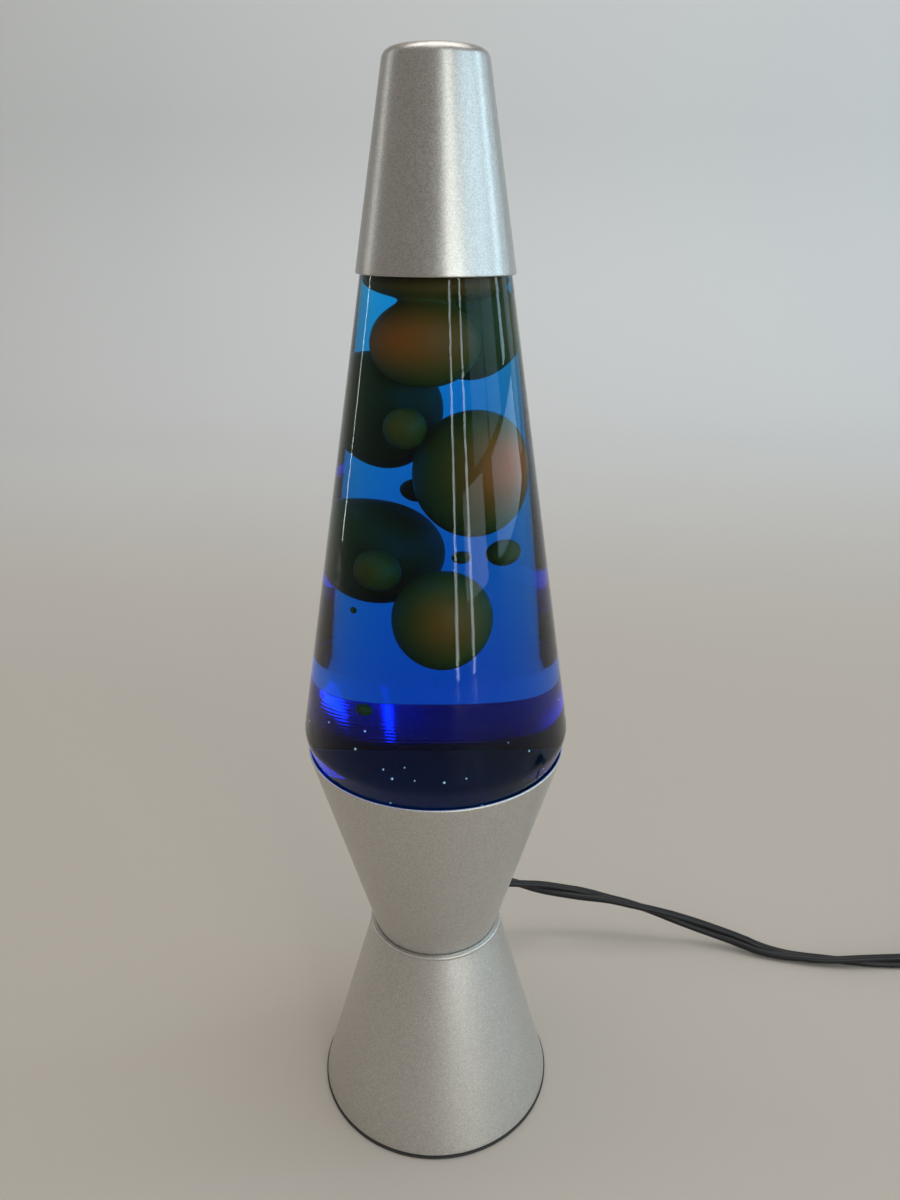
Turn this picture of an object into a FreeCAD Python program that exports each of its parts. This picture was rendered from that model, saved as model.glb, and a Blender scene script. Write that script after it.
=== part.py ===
import FreeCAD, Part
import math
import os

import Sketcher

from FreeCAD import Placement, Rotation, Vector

# Driving sizes in millimetres, and counts. Heights are above the floor, depths below the cap's top.
SIZES = {
    # Base: two spun cones that meet at the waist
    "foot_radius": 44.9,
    "waist_radius": 23.0,
    "rim_overhang": 0.2,
    "metal_base_height": 1.3,
    "waist_height": 77.1,
    "rim_height": 154.9,
    "base_sheet": 0.9,
    "hem_width": 2.6,
    "lip_width": 0.9,
    "waist_gap": 0.25,
    "waist_overlap": 3.1,
    "edge_round": 0.4,
    "base_opening_radius": 15.8,
    # Globe, liquid and wax
    "seat_gap": 0.3,
    "globe_wall": 2.6,
    "globe_floor_height": 130.0,
    "globe_floor": 4.0,
    "globe_floor_round": 6.0,
    "belly_height": 162.3,
    "belly_round": 8.0,
    "shoulder_depth": 50.3,
    "shoulder_radius": 21.25,
    "neck_depth": 38.3,
    "neck_radius": 12.8,
    "neck_bore_radius": 9.6,
    "ring_radius": 14.0,
    "ring_depth": 34.3,
    "ring_thickness": 2.6,
    "finish_radius": 13.3,
    "mouth_depth": 25.3,
    "liquid_gap": 0.2,
    "fill_depth": 54.3,
    "wax_gap": 0.4,
    "coil_inset": 9.8,
    "coil_curl_radius": 3.6,
    "coil_wire": 1.1,
    "coil_curls": 30,
    "pool_inset": 6.0,
    "pool_depth": 6.5,
    # Crown cap
    "crown_sheet": 0.4,
    "liner_thickness": 0.6,
    "crown_skirt_radius": 16.0,
    "crown_skirt_depth": 5.6,
    "crown_flutes": 21,
    # Cap
    "cap_sheet": 1.0,
    "cap_depth": 57.3,
    "cap_top_radius": 14.5,
    "total_height": 368.3,
    "cap_round": 3.0,
    # Base cover and pads
    "cover_overhang": 0.3,
    "cover_panel": 1.6,
    "cover_spigot_wall": 1.6,
    "cover_spigot_height": 7.0,
    "cover_fit": 0.2,
    "cover_bead": 0.6,
    "cover_recess": 1.0,
    "pad_radius": 5.0,
    "pad_drop": 0.4,
    "pad_circle": 32.0,
    "vent_slots": 12,
    "vent_width": 3.0,
    "vent_length": 11.0,
    "vent_circle": 20.0,
    # Pan and its screws
    "pan_sheet": 1.0,
    "pan_drop": 78.0,
    "pan_flange_radius": 22.5,
    "pan_hole_radius": 8.8,
    "waist_screws": 3,
    "waist_screw_circle": 18.4,
    "waist_screw_radius": 1.5,
    "waist_screw_hole": 1.7,
    "waist_head_radius": 2.8,
    "waist_head": 2.0,
    "waist_screw_tail": 1.6,
    "nut_flats": 5.5,
    "nut_thickness": 2.4,
    "nut_clearance": 0.05,
    # Lampholder
    "holder_radius": 14.0,
    "holder_gap": 0.3,
    "holder_height": 33.0,
    "holder_floor": 9.0,
    "holder_bore_radius": 9.7,
    "terminal_radius": 2.6,
    "terminal_depth": 4.5,
    "terminal_offset": 5.4,
    "rivet_radius": 1.0,
    "rivet_head_radius": 2.0,
    "rivet_head": 0.8,
    "holder_screw_offset": 11.6,
    "holder_screw_radius": 1.2,
    "holder_head_radius": 2.3,
    "holder_head": 1.6,
    "contact_width": 4.0,
    "contact_sheet": 0.5,
    # Screw thread, shown as rings of the same pitch
    "thread_pitch": 2.82,
    "thread_rings": 5,
    "thread_depth": 0.7,
    "thread_gap": 0.3,
    "thread_rise": 8.2,
    "shell_sheet": 0.35,
    # Bulb
    "bulb_shell_radius": 8.3,
    "contact_rise": 3.5,
    "bulb_length": 59.0,
    "bulb_radius": 17.5,
    "bulb_wall": 0.8,
    "bulb_neck_radius": 7.2,
    "bulb_belly_height": 37.0,
    "bulb_contact_radius": 2.4,
    "bulb_contact_thickness": 1.5,
    "bulb_insulator_thickness": 3.0,
    "stem_radius": 2.8,
    "stem_length": 15.0,
    "filament_radius": 0.3,
    "filament_span": 9.0,
    "support_wire": 0.7,
    "bulb_seal_gap": 2.0,
    # Cord, bushing and inner leads
    "cord_width": 6.4,
    "cord_azimuth": 15.0,
    "cord_exit_height": 26.0,
    "bushing_outside": 12.0,
    "bushing_inside": 8.0,
    "bushing_tip_radius": 4.4,
    "bushing_root_radius": 6.2,
    "bushing_flange_radius": 7.5,
    "bushing_flange": 1.6,
    "bushing_barrel_radius": 5.3,
    "bushing_fit": 0.1,
    "lead_radius": 1.5,
    "cord_lead_out": 17.5,
    # Inline rotary switch
    "switch_near_end": 262.0,
    "switch_lead_out": 18.0,
    "switch_row": 56.0,
    "switch_length": 58.0,
    "switch_width": 21.0,
    "switch_half_height": 8.0,
    "switch_wall": 1.8,
    "switch_round": 4.0,
    "wheel_radius": 8.6,
    "wheel_thickness": 6.0,
    "wheel_proud": 3.0,
    "wheel_gap": 0.5,
    "wheel_notches": 18,
    "axle_radius": 1.5,
    "axle_fit": 0.05,
    "strip_length": 9.0,
    "strip_width": 3.2,
    "strip_thickness": 0.6,
    "switch_screw_radius": 1.25,
    "switch_screw_head_radius": 2.4,
    "switch_screw_head": 1.4,
    "switch_screw_offset": 21.0,
    # Coil of the put away length, and the plug
    "coil_start": 400.0,
    "coil_row": 53.9,
    "coil_outer_turn": 46.4,
    "coil_turn_gap": 0.6,
    "coil_half_turns": 13,
    "coil_climb_step": 2.4,
    "coil_exit_bend": 60.0,
    "plug_width": 23.0,
    "plug_thickness": 14.0,
    "plug_length": 26.0,
    "plug_relief_length": 22.0,
    "plug_relief_radius": 4.6,
    "blade_length": 16.0,
    "blade_thickness": 1.5,
    "blade_spacing": 12.7,
    "blade_narrow": 6.35,
    "blade_wide": 7.94,
    "blade_root": 5.0,
    "blade_hole_radius": 1.6,
    "blade_hole_offset": 4.0,
}

doc = FreeCAD.newDocument("MotionLamp")
sheet = doc.addObject("Spreadsheet::Sheet", "Sizes")
for row, (alias, number) in enumerate(SIZES.items(), 1):
    sheet.set(f"A{row}", alias)
    sheet.set(f"B{row}", str(number))
    sheet.setAlias(f"B{row}", alias)
doc.recompute()


class Length:
    """A value together with the sheet formula that gives it."""

    def __init__(self, text, value):
        self.text = text
        self.value = value

    def __add__(self, other):
        other = length(other)
        return Length(f"({self.text} + {other.text})", self.value + other.value)

    def __sub__(self, other):
        other = length(other)
        return Length(f"({self.text} - {other.text})", self.value - other.value)

    def __mul__(self, other):
        other = length(other)
        return Length(f"({self.text} * {other.text})", self.value * other.value)

    def __truediv__(self, other):
        other = length(other)
        return Length(f"({self.text} / {other.text})", self.value / other.value)

    def __radd__(self, other):
        return length(other) + self

    def __rsub__(self, other):
        return length(other) - self

    def __rmul__(self, other):
        return length(other) * self

    def __neg__(self):
        return 0 - self


def length(number):
    """The number as a Length, unless it is one."""
    return number if isinstance(number, Length) else Length(f"({number:.9g})", float(number))


def root(inner):
    """The square root of a Length."""
    return Length(f"sqrt({inner.text})", math.sqrt(inner.value))


class Sheet:
    """Gives each aliased cell as a Length."""

    def __getattr__(self, alias):
        return Length(f"Sizes.{alias}", float(SIZES[alias]))


mm = Sheet()
nodes = {}


def bind(obj, field, size):
    """Ties one property of an object to the sheet."""
    obj.setExpression(field, length(size).text)


def place(obj, x=0, y=0, z=0, turn=None):
    """Puts an object at a point that follows the sheet."""
    spot = Vector(*(length(n).value for n in (x, y, z)))
    obj.Placement = Placement(spot, turn or Rotation())
    for axis, size in zip("xyz", (x, y, z)):
        if isinstance(size, Length):
            bind(obj, f"Placement.Base.{axis}", size)
    return obj


def node(name, obj):
    """Names a finished sub-part."""
    obj.Label = name
    nodes[name] = obj
    return obj


def corner_rounds(points):
    """For each corner the points where its rounding starts and ends, or the corner twice."""
    spots = [Vector(length(p[0]).value, length(p[1]).value, 0) for p in points]
    ends = []
    for i, point in enumerate(points):
        here, before, after = spots[i], spots[i - 1], spots[(i + 1) % len(spots)]
        if len(point) < 3:
            ends.append((here, here, None))
            continue
        back = (before - here).normalize()
        ahead = (after - here).normalize()
        half = back.getAngle(ahead) / 2
        radius = length(point[2]).value
        reach = radius / math.tan(half)
        centre = here + (back + ahead).normalize() * (radius / math.sin(half))
        ends.append((here + back * reach, here + ahead * reach, centre))
    return spots, ends


def add_outline(sketch, points, holes=()):
    """Draws a closed outline of corners (x, y) or (x, y, rounding), and circles (x, y, radius)."""
    spots, ends = corner_rounds(points)
    count = len(points)
    rules, sizes = [], []

    def locate(holder, spot, x, y):
        for kind, axis, size in (("DistanceX", -2, x), ("DistanceY", -1, y)):
            if not isinstance(size, Length) and size == 0:
                rules.append(Sketcher.Constraint("PointOnObject", holder, spot, axis))
            else:
                size = length(size)
                sizes.append((len(rules), size.text))
                rules.append(Sketcher.Constraint(kind, -1, 1, holder, spot, size.value))

    def round_off(curve, radius):
        sizes.append((len(rules), length(radius).text))
        rules.append(Sketcher.Constraint("Radius", curve, length(radius).value))

    shapes = [Part.LineSegment(ends[i][1], ends[(i + 1) % count][0]) for i in range(count)]
    sketch.addGeometry(shapes, False)
    for i, point in enumerate(points):
        into, out = (i - 1) % count, i
        start, finish, centre = ends[i]
        if centre is None:
            rules.append(Sketcher.Constraint("Coincident", into, 2, out, 1))
            locate(out, 1, point[0], point[1])
            continue
        left = (spots[i] - start).cross(finish - spots[i]).z > 0
        low, high = (start, finish) if left else (finish, start)
        bearing = [math.atan2(p.y - centre.y, p.x - centre.x) for p in (low, high)]
        ring = Part.Circle(centre, Vector(0, 0, 1), length(point[2]).value)
        arc = sketch.addGeometry(Part.ArcOfCircle(ring, *bearing), False)
        first, second = (1, 2) if left else (2, 1)
        rules.append(Sketcher.Constraint("Tangent", into, 2, arc, first))
        rules.append(Sketcher.Constraint("Tangent", arc, second, out, 1))
        round_off(arc, point[2])
        corner = sketch.addGeometry(Part.Point(spots[i]), True)
        rules.append(Sketcher.Constraint("PointOnObject", corner, 1, into))
        rules.append(Sketcher.Constraint("PointOnObject", corner, 1, out))
        locate(corner, 1, point[0], point[1])
    for x, y, radius in holes:
        spot = Vector(length(x).value, length(y).value, 0)
        ring = sketch.addGeometry(Part.Circle(spot, Vector(0, 0, 1), length(radius).value), False)
        locate(ring, 3, x, y)
        round_off(ring, radius)
    sketch.addConstraint(rules)
    for index, text in sizes:
        sketch.setExpression(f"Constraints[{index}]", text)


def new_sketch(body, plane, name="Outline"):
    """An empty sketch on one of the body's own origin planes."""
    sketch = body.newObject("Sketcher::SketchObject", name)
    face = next(f for f in body.Origin.OriginFeatures if f.Role == plane)
    sketch.AttachmentSupport = [(face, "")]
    sketch.MapMode = "FlatFace"
    return sketch


def turned(points, name="Turned"):
    """A body turned about Z from an outline of (radius, height) corners."""
    body = doc.addObject("PartDesign::Body", name)
    sketch = new_sketch(body, "XZ_Plane")
    add_outline(sketch, points)
    revolution = body.newObject("PartDesign::Revolution", "Revolution")
    revolution.Profile = sketch
    revolution.ReferenceAxis = (sketch, ["V_Axis"])
    revolution.Angle = 360
    sketch.Visibility = False
    return body


def padded(points, height, name="Padded", holes=()):
    """A body padded upwards from an outline of (x, y) corners, with round holes."""
    body = doc.addObject("PartDesign::Body", name)
    sketch = new_sketch(body, "XY_Plane")
    add_outline(sketch, points, holes)
    pad = body.newObject("PartDesign::Pad", "Pad")
    pad.Profile = sketch
    bind(pad, "Length", height)
    sketch.Visibility = False
    return body


def cylinder(radius, height, x=0, y=0, z=0, turn=None):
    """A round bar standing on its spot, or laid by a turn."""
    bar = doc.addObject("Part::Cylinder", "Bar")
    bind(bar, "Radius", radius)
    bind(bar, "Height", height)
    return place(bar, x, y, z, turn)


def block(size_x, size_y, size_z, x=0, y=0, z=0):
    """A box with its low corner at the spot."""
    box = doc.addObject("Part::Box", "Block")
    for field, size in (("Length", size_x), ("Width", size_y), ("Height", size_z)):
        bind(box, field, size)
    return place(box, x, y, z)


def together(parts, kind="Part::Compound"):
    """Several objects as one group, or fused."""
    group = doc.addObject(kind, "Group")
    if kind == "Part::Compound":
        group.Links = parts
    else:
        group.Shapes = parts
        group.Refine = False
    return group


def cut(base, tools):
    """The base less the tools."""
    result = doc.addObject("Part::Cut", "Cut")
    result.Base = base
    result.Tool = tools[0] if len(tools) == 1 else together(tools)
    return result


def fused(parts):
    """The parts as one solid."""
    return together(parts, "Part::MultiFuse")


def around(count, start=0.0):
    """The cosine and sine of each of some even places round the axis, with the angle in degrees."""
    for i in range(count):
        angle = start + 360.0 * i / count
        yield math.cos(math.radians(angle)), math.sin(math.radians(angle)), angle


def shaped(name, shape):
    """A sub-part whose shape is made directly."""
    feature = doc.addObject("Part::Feature", name)
    feature.Shape = shape
    return feature


# Slopes and sheet thicknesses measured level, which several pieces share.
rim_radius = mm.foot_radius + mm.rim_overhang
cup_slope = (rim_radius - mm.waist_radius) / (mm.rim_height - mm.waist_height)
cup_wall = mm.base_sheet * root(1 + cup_slope * cup_slope)
seat_gap = mm.seat_gap * root(1 + cup_slope * cup_slope)
flange_top = mm.waist_height - mm.waist_overlap
flange_under = flange_top - mm.base_sheet
cup_floor_top = flange_top + mm.base_sheet
lip_radius = mm.waist_radius + mm.waist_gap + mm.lip_width
foot_slope = (mm.foot_radius - lip_radius) / (mm.waist_height - mm.metal_base_height)
foot_wall = mm.base_sheet * root(1 + foot_slope * foot_slope)


def cup_radius(height):
    """Outer radius of the upper cone at a height."""
    return mm.waist_radius + cup_slope * (height - mm.waist_height)


def foot_radius(height):
    """Outer radius of the lower cone at a height."""
    return lip_radius + foot_slope * (mm.waist_height - height)


# Lower cone: one spun sheet with a hem turned in at the floor, and a lip and a seat for the cup.
hem_top = mm.metal_base_height + mm.base_sheet
foot_blank = turned([
    (mm.foot_radius - mm.hem_width, mm.metal_base_height),
    (mm.foot_radius, mm.metal_base_height, mm.edge_round),
    (lip_radius, mm.waist_height, mm.edge_round),
    (mm.waist_radius + mm.waist_gap, mm.waist_height, mm.edge_round),
    (cup_radius(flange_top) + mm.waist_gap, flange_top),
    (mm.base_opening_radius, flange_top),
    (mm.base_opening_radius, flange_under),
    (foot_radius(flange_under) - foot_wall, flange_under),
    (foot_radius(hem_top) - foot_wall, hem_top),
    (mm.foot_radius - mm.hem_width, hem_top),
], "FootBlank")

azimuth = math.radians(SIZES["cord_azimuth"])
exit_plan = Vector(math.sin(azimuth), math.cos(azimuth), 0)
exit_tilt = math.atan(foot_slope.value)
exit_axis = exit_plan * math.cos(exit_tilt) + Vector(0, 0, math.sin(exit_tilt))
exit_turn = Rotation(Vector(0, 0, 1), exit_axis)
exit_reach = foot_radius(mm.cord_exit_height)
exit_spot = exit_plan * exit_reach.value + Vector(0, 0, SIZES["cord_exit_height"])


def along_exit(radius, start, finish):
    """A bar on the cord's exit axis, between two distances from the foot's outer face."""
    spot = exit_spot + exit_axis * length(start).value
    bar = cylinder(radius, length(finish) - start)
    bar.Placement = Placement(spot, exit_turn)
    return bar


waist_spots = list(around(SIZES["waist_screws"], 45.0))


def waist_holes():
    """Clearance holes for the waist screws through cup, foot and pan."""
    return [cylinder(mm.waist_screw_hole, mm.waist_overlap + mm.base_sheet + mm.pan_sheet + mm.base_sheet,
                     mm.waist_screw_circle * c, mm.waist_screw_circle * s,
                     flange_under - mm.pan_sheet - mm.base_sheet)
            for c, s, _ in waist_spots]


exit_hole = along_exit(mm.bushing_barrel_radius + mm.bushing_fit, -3 * mm.base_sheet, 2 * mm.base_sheet)
node("lower_cone", cut(foot_blank, waist_holes() + [exit_hole]))

# Upper cone: the cup that the globe stands in, with a floor that lies on the foot's seat.
cup_blank = turned([
    (mm.base_opening_radius, flange_top),
    (cup_radius(flange_top), flange_top, mm.edge_round),
    (rim_radius, mm.rim_height, mm.edge_round),
    (rim_radius - cup_wall, mm.rim_height, mm.edge_round),
    (cup_radius(cup_floor_top) - cup_wall, cup_floor_top),
    (mm.base_opening_radius, cup_floor_top),
], "CupBlank")
node("upper_cone", cut(cup_blank, waist_holes()))

# Base cover: black moulding with a beaded spigot that snaps over the foot's hem, and vent slots.
recess_top = mm.pad_drop + mm.cover_recess
spigot_radius = mm.foot_radius - mm.hem_width - mm.cover_fit
bead_height = hem_top + mm.cover_fit
cover_blank = turned([
    (0, recess_top),
    (spigot_radius - mm.cover_spigot_wall, recess_top),
    (spigot_radius - mm.cover_spigot_wall + mm.cover_recess, mm.pad_drop),
    (mm.foot_radius + mm.cover_overhang, mm.pad_drop),
    (mm.foot_radius + mm.cover_overhang, mm.metal_base_height),
    (spigot_radius, mm.metal_base_height),
    (spigot_radius, bead_height),
    (spigot_radius + mm.cover_bead, bead_height + mm.cover_bead),
    (spigot_radius, bead_height + 2 * mm.cover_bead),
    (spigot_radius, mm.cover_spigot_height),
    (spigot_radius - mm.cover_spigot_wall, mm.cover_spigot_height),
    (spigot_radius - mm.cover_spigot_wall, recess_top + mm.cover_panel),
    (0, recess_top + mm.cover_panel),
], "CoverBlank")
slots = []
for c, s, angle in around(SIZES["vent_slots"]):
    slot = block(mm.vent_length, mm.vent_width, 2 * mm.cover_panel)
    across = mm.vent_circle - mm.vent_length / 2
    half = mm.vent_width / 2
    place(slot, across * c + half * s, across * s - half * c, recess_top - mm.cover_panel / 2,
          Rotation(Vector(0, 0, 1), angle))
    slots.append(slot)
node("base_cover", cut(cover_blank, slots))
node("foot_pads", together([
    cylinder(mm.pad_radius, recess_top, mm.pad_circle * c, mm.pad_circle * s, 0)
    for c, s, _ in around(4, 45.0)]))

# Lampholder pan: pressed steel cup that hangs under the waist.
pan_inner = mm.holder_radius + mm.holder_gap
pan_outer = pan_inner + mm.pan_sheet
pan_top = flange_under
pan_floor_height = mm.globe_floor_height - mm.pan_drop
pan_floor_top = pan_floor_height + mm.pan_sheet
pan_blank = turned([
    (mm.pan_hole_radius, pan_floor_height),
    (pan_outer, pan_floor_height, mm.pan_sheet),
    (pan_outer, pan_top - mm.pan_sheet),
    (mm.pan_flange_radius, pan_top - mm.pan_sheet),
    (mm.pan_flange_radius, pan_top),
    (pan_inner, pan_top),
    (pan_inner, pan_floor_top),
    (mm.pan_hole_radius, pan_floor_top),
], "PanBlank")
holder_screw_spots = [(0, mm.holder_screw_offset), (0, -mm.holder_screw_offset)]
pan_screw_holes = [cylinder(mm.holder_screw_radius + mm.nut_clearance, 3 * mm.pan_sheet, x, y,
                            pan_floor_height - mm.pan_sheet) for x, y in holder_screw_spots]
node("lampholder_pan", cut(pan_blank, waist_holes() + pan_screw_holes))

# Waist screws from above and their nuts below.
nut_top = pan_top - mm.pan_sheet
screws, nuts = [], []
for c, s, angle in waist_spots:
    x, y = mm.waist_screw_circle * c, mm.waist_screw_circle * s
    tail = nut_top - mm.nut_thickness - mm.waist_screw_tail
    screw = turned([
        (0, tail),
        (mm.waist_screw_radius, tail),
        (mm.waist_screw_radius, cup_floor_top),
        (mm.waist_head_radius, cup_floor_top),
        (mm.waist_head_radius, cup_floor_top + mm.waist_head, mm.waist_head / 2),
        (0, cup_floor_top + mm.waist_head),
    ], "WaistScrew")
    screws.append(place(screw, x, y))
    nut = doc.addObject("Part::Prism", "Nut")
    nut.Polygon = 6
    bind(nut, "Circumradius", mm.nut_flats / math.sqrt(3))
    bind(nut, "Height", mm.nut_thickness)
    place(nut, x, y, nut_top - mm.nut_thickness, Rotation(Vector(0, 0, 1), angle + 30))
    bore = cylinder(mm.waist_screw_radius + mm.nut_clearance, 2 * mm.nut_thickness, x, y,
                    nut_top - 1.5 * mm.nut_thickness)
    nuts.append(cut(nut, [bore]))
node("waist_screws", together(screws))
node("waist_nuts", together(nuts))

# Lampholder: insulating body with a bore for the shell and two wells for the terminals.
holder_floor_top = pan_floor_top + mm.holder_floor
thread_base_height = holder_floor_top + mm.thread_rise
bulb_low = holder_floor_top + mm.contact_rise
holder_top = pan_floor_top + mm.holder_height
holder_blank = turned([
    (0, pan_floor_top),
    (mm.holder_radius, pan_floor_top),
    (mm.holder_radius, holder_top, mm.pan_sheet),
    (mm.holder_bore_radius, holder_top),
    (mm.holder_bore_radius, holder_floor_top),
    (0, holder_floor_top),
], "HolderBlank")
terminal_spots = [(mm.terminal_offset, 0), (-mm.terminal_offset, 0)]
holder_cuts = []
for x, y in terminal_spots:
    holder_cuts.append(cylinder(mm.terminal_radius, mm.terminal_depth + mm.pan_sheet, x, y,
                                pan_floor_top - mm.pan_sheet))
    holder_cuts.append(cylinder(mm.rivet_radius + mm.nut_clearance, 2 * mm.holder_floor, x, y,
                                pan_floor_top - mm.pan_sheet))
for x, y in holder_screw_spots:
    holder_cuts.append(cylinder(mm.holder_screw_radius, mm.holder_floor - mm.pan_sheet, x, y,
                                pan_floor_top - mm.pan_sheet))
node("holder_body", cut(holder_blank, holder_cuts))
holder_screws = []
for x, y in holder_screw_spots:
    low = pan_floor_height - mm.holder_head
    holder_screws.append(place(turned([
        (0, low),
        (mm.holder_head_radius, low, mm.holder_head / 2),
        (mm.holder_head_radius, pan_floor_height),
        (mm.holder_screw_radius, pan_floor_height),
        (mm.holder_screw_radius, pan_floor_top + mm.holder_floor - 3 * mm.pan_sheet),
        (0, pan_floor_top + mm.holder_floor - 3 * mm.pan_sheet),
    ], "HolderScrew"), x, y))
node("holder_screws", together(holder_screws))

# Screw shells of lampholder and bulb: rolled rings at the thread's pitch, in mesh at rest.
def thread_wall(crest, rings, start, outward=True):
    """Corners of a rolled wall from its lower end up, or down, through crests and roots."""
    corners = []
    for i in range(rings):
        ring = start + mm.thread_pitch * i
        corners.append((crest - mm.thread_depth, ring, mm.thread_pitch / 6))
        corners.append((crest, ring + mm.thread_pitch / 2, mm.thread_pitch / 6))
    corners.append((crest - mm.thread_depth, start + mm.thread_pitch * rings, mm.thread_pitch / 6))
    return corners if outward else corners[::-1]


rings = SIZES["thread_rings"]
thread_top = thread_base_height + mm.thread_pitch * rings
bulb_crest = mm.bulb_shell_radius
bulb_collar = thread_top + mm.thread_pitch / 2
insulator_top = thread_base_height - mm.thread_pitch / 2
node("bulb_shell", turned(
    [(mm.bulb_contact_radius + mm.shell_sheet, insulator_top),
     (bulb_crest - mm.thread_depth, insulator_top)]
    + thread_wall(bulb_crest, rings, thread_base_height)
    + [(bulb_crest - mm.thread_depth, bulb_collar),
       (bulb_crest - mm.thread_depth - mm.shell_sheet, bulb_collar)]
    + thread_wall(bulb_crest - mm.shell_sheet, rings, thread_base_height, False)
    + [(bulb_crest - mm.thread_depth - mm.shell_sheet, insulator_top + mm.shell_sheet),
       (mm.bulb_contact_radius + mm.shell_sheet, insulator_top + mm.shell_sheet)], "BulbShell"))
holder_crest = bulb_crest + mm.thread_gap
shell_top = holder_top - 2 * mm.shell_sheet
shell_floor_edge = mm.terminal_offset - mm.rivet_head_radius
shell_blank = turned(
    [(shell_floor_edge, holder_floor_top),
     (holder_crest - mm.thread_depth + mm.shell_sheet, holder_floor_top)]
    + thread_wall(holder_crest + mm.shell_sheet, rings, thread_base_height)
    + [(holder_crest - mm.thread_depth + mm.shell_sheet, shell_top),
       (holder_crest - mm.thread_depth, shell_top)]
    + thread_wall(holder_crest, rings, thread_base_height, False)
    + [(holder_crest - mm.thread_depth, holder_floor_top + mm.shell_sheet),
       (shell_floor_edge, holder_floor_top + mm.shell_sheet)], "ShellBlank")
leaf_room = mm.contact_width + 4 * mm.contact_sheet
node("holder_shell", cut(shell_blank, [
    block(mm.bulb_neck_radius, leaf_room, 2 * mm.shell_sheet, -mm.bulb_neck_radius - mm.contact_sheet,
          -leaf_room / 2, holder_floor_top - mm.shell_sheet / 2),
    cylinder(mm.rivet_radius + mm.nut_clearance, 4 * mm.shell_sheet, mm.terminal_offset, 0,
             holder_floor_top - mm.shell_sheet)]))

# Centre contact strip, bent up to the bulb, and the two rivets that hold strip and shell.
leaf_top = bulb_low - mm.thread_gap
leaf_tip = mm.bulb_contact_radius - mm.contact_sheet
leaf_end = mm.bulb_neck_radius + leaf_tip
bend = mm.contact_width / 2 + leaf_tip
foot_bend = mm.terminal_offset - mm.rivet_head_radius - 2 * mm.contact_sheet + leaf_tip
leaf_blank = padded([
    (leaf_end, holder_floor_top),
    (foot_bend, holder_floor_top),
    (bend - mm.contact_sheet, leaf_top - mm.contact_sheet),
    (0, leaf_top - mm.contact_sheet),
    (0, leaf_top),
    (bend, leaf_top),
    (foot_bend + mm.contact_sheet, holder_floor_top + mm.contact_sheet),
    (leaf_end, holder_floor_top + mm.contact_sheet),
], mm.contact_width, "LeafBlank")
place(leaf_blank, leaf_tip, -mm.contact_width / 2, 0,
      Rotation(Vector(-1, 0, 0), Vector(0, 0, 1), Vector(0, 1, 0), "ZXY"))
node("holder_contact", cut(leaf_blank, [
    cylinder(mm.rivet_radius + mm.nut_clearance, 4 * mm.contact_sheet, -mm.terminal_offset, 0,
             holder_floor_top - mm.contact_sheet)]))
well_top = pan_floor_top + mm.terminal_depth
rivets = []
for side, held in ((1, mm.shell_sheet), (-1, mm.contact_sheet)):
    seat = holder_floor_top + held
    rivets.append(place(turned([
        (0, well_top - mm.rivet_head),
        (mm.rivet_head_radius, well_top - mm.rivet_head, mm.rivet_head / 2),
        (mm.rivet_head_radius, well_top),
        (mm.rivet_radius, well_top),
        (mm.rivet_radius, seat),
        (mm.rivet_head_radius, seat),
        (mm.rivet_head_radius, seat + mm.rivet_head, mm.rivet_head / 2),
        (0, seat + mm.rivet_head),
    ], "Rivet"), side * mm.terminal_offset))
node("holder_rivets", together(rivets))

# Bulb: contact, insulator, envelope, stem, lead-in wires and filament.
contact_top = bulb_low + mm.bulb_contact_thickness
node("bulb_contact", turned([
    (0, bulb_low),
    (mm.bulb_contact_radius, bulb_low, mm.bulb_contact_thickness / 2),
    (mm.bulb_contact_radius, contact_top),
    (0, contact_top),
], "BulbContact"))
node("bulb_insulator", turned([
    (0, contact_top),
    (mm.bulb_contact_radius + mm.bulb_contact_thickness, contact_top),
    (bulb_crest - mm.thread_depth - mm.shell_sheet, insulator_top),
    (0, insulator_top),
], "BulbInsulator"))
seal_height = contact_top + mm.bulb_insulator_thickness + mm.bulb_seal_gap
neck_top = bulb_collar + mm.shell_sheet
belly = bulb_low + mm.bulb_belly_height
bulb_top = bulb_low + mm.bulb_length
crown_round = mm.bulb_radius - mm.stem_radius


def bulb_outline(inset, name):
    """The envelope's outline, moved inwards by an inset."""
    return turned([
        (0, seal_height + inset),
        (mm.bulb_neck_radius - inset, seal_height + inset),
        (mm.bulb_neck_radius - inset, neck_top, 5 * mm.bulb_wall),
        (mm.bulb_radius - inset, belly, mm.bulb_radius / 2),
        (mm.bulb_radius - inset, bulb_top - inset, crown_round - inset),
        (0, bulb_top - inset),
    ], name)


node("bulb_envelope", cut(bulb_outline(0, "BulbOutside"), [bulb_outline(mm.bulb_wall, "BulbInside")]))
stem_low = seal_height + mm.bulb_wall
stem_top = stem_low + mm.stem_length
node("bulb_stem", turned([
    (0, stem_low),
    (2 * mm.stem_radius, stem_low),
    (mm.stem_radius, stem_low + mm.stem_length / 2, mm.stem_radius),
    (mm.stem_radius, stem_top, mm.stem_radius / 2),
    (0, stem_top),
], "BulbStem"))


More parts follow.
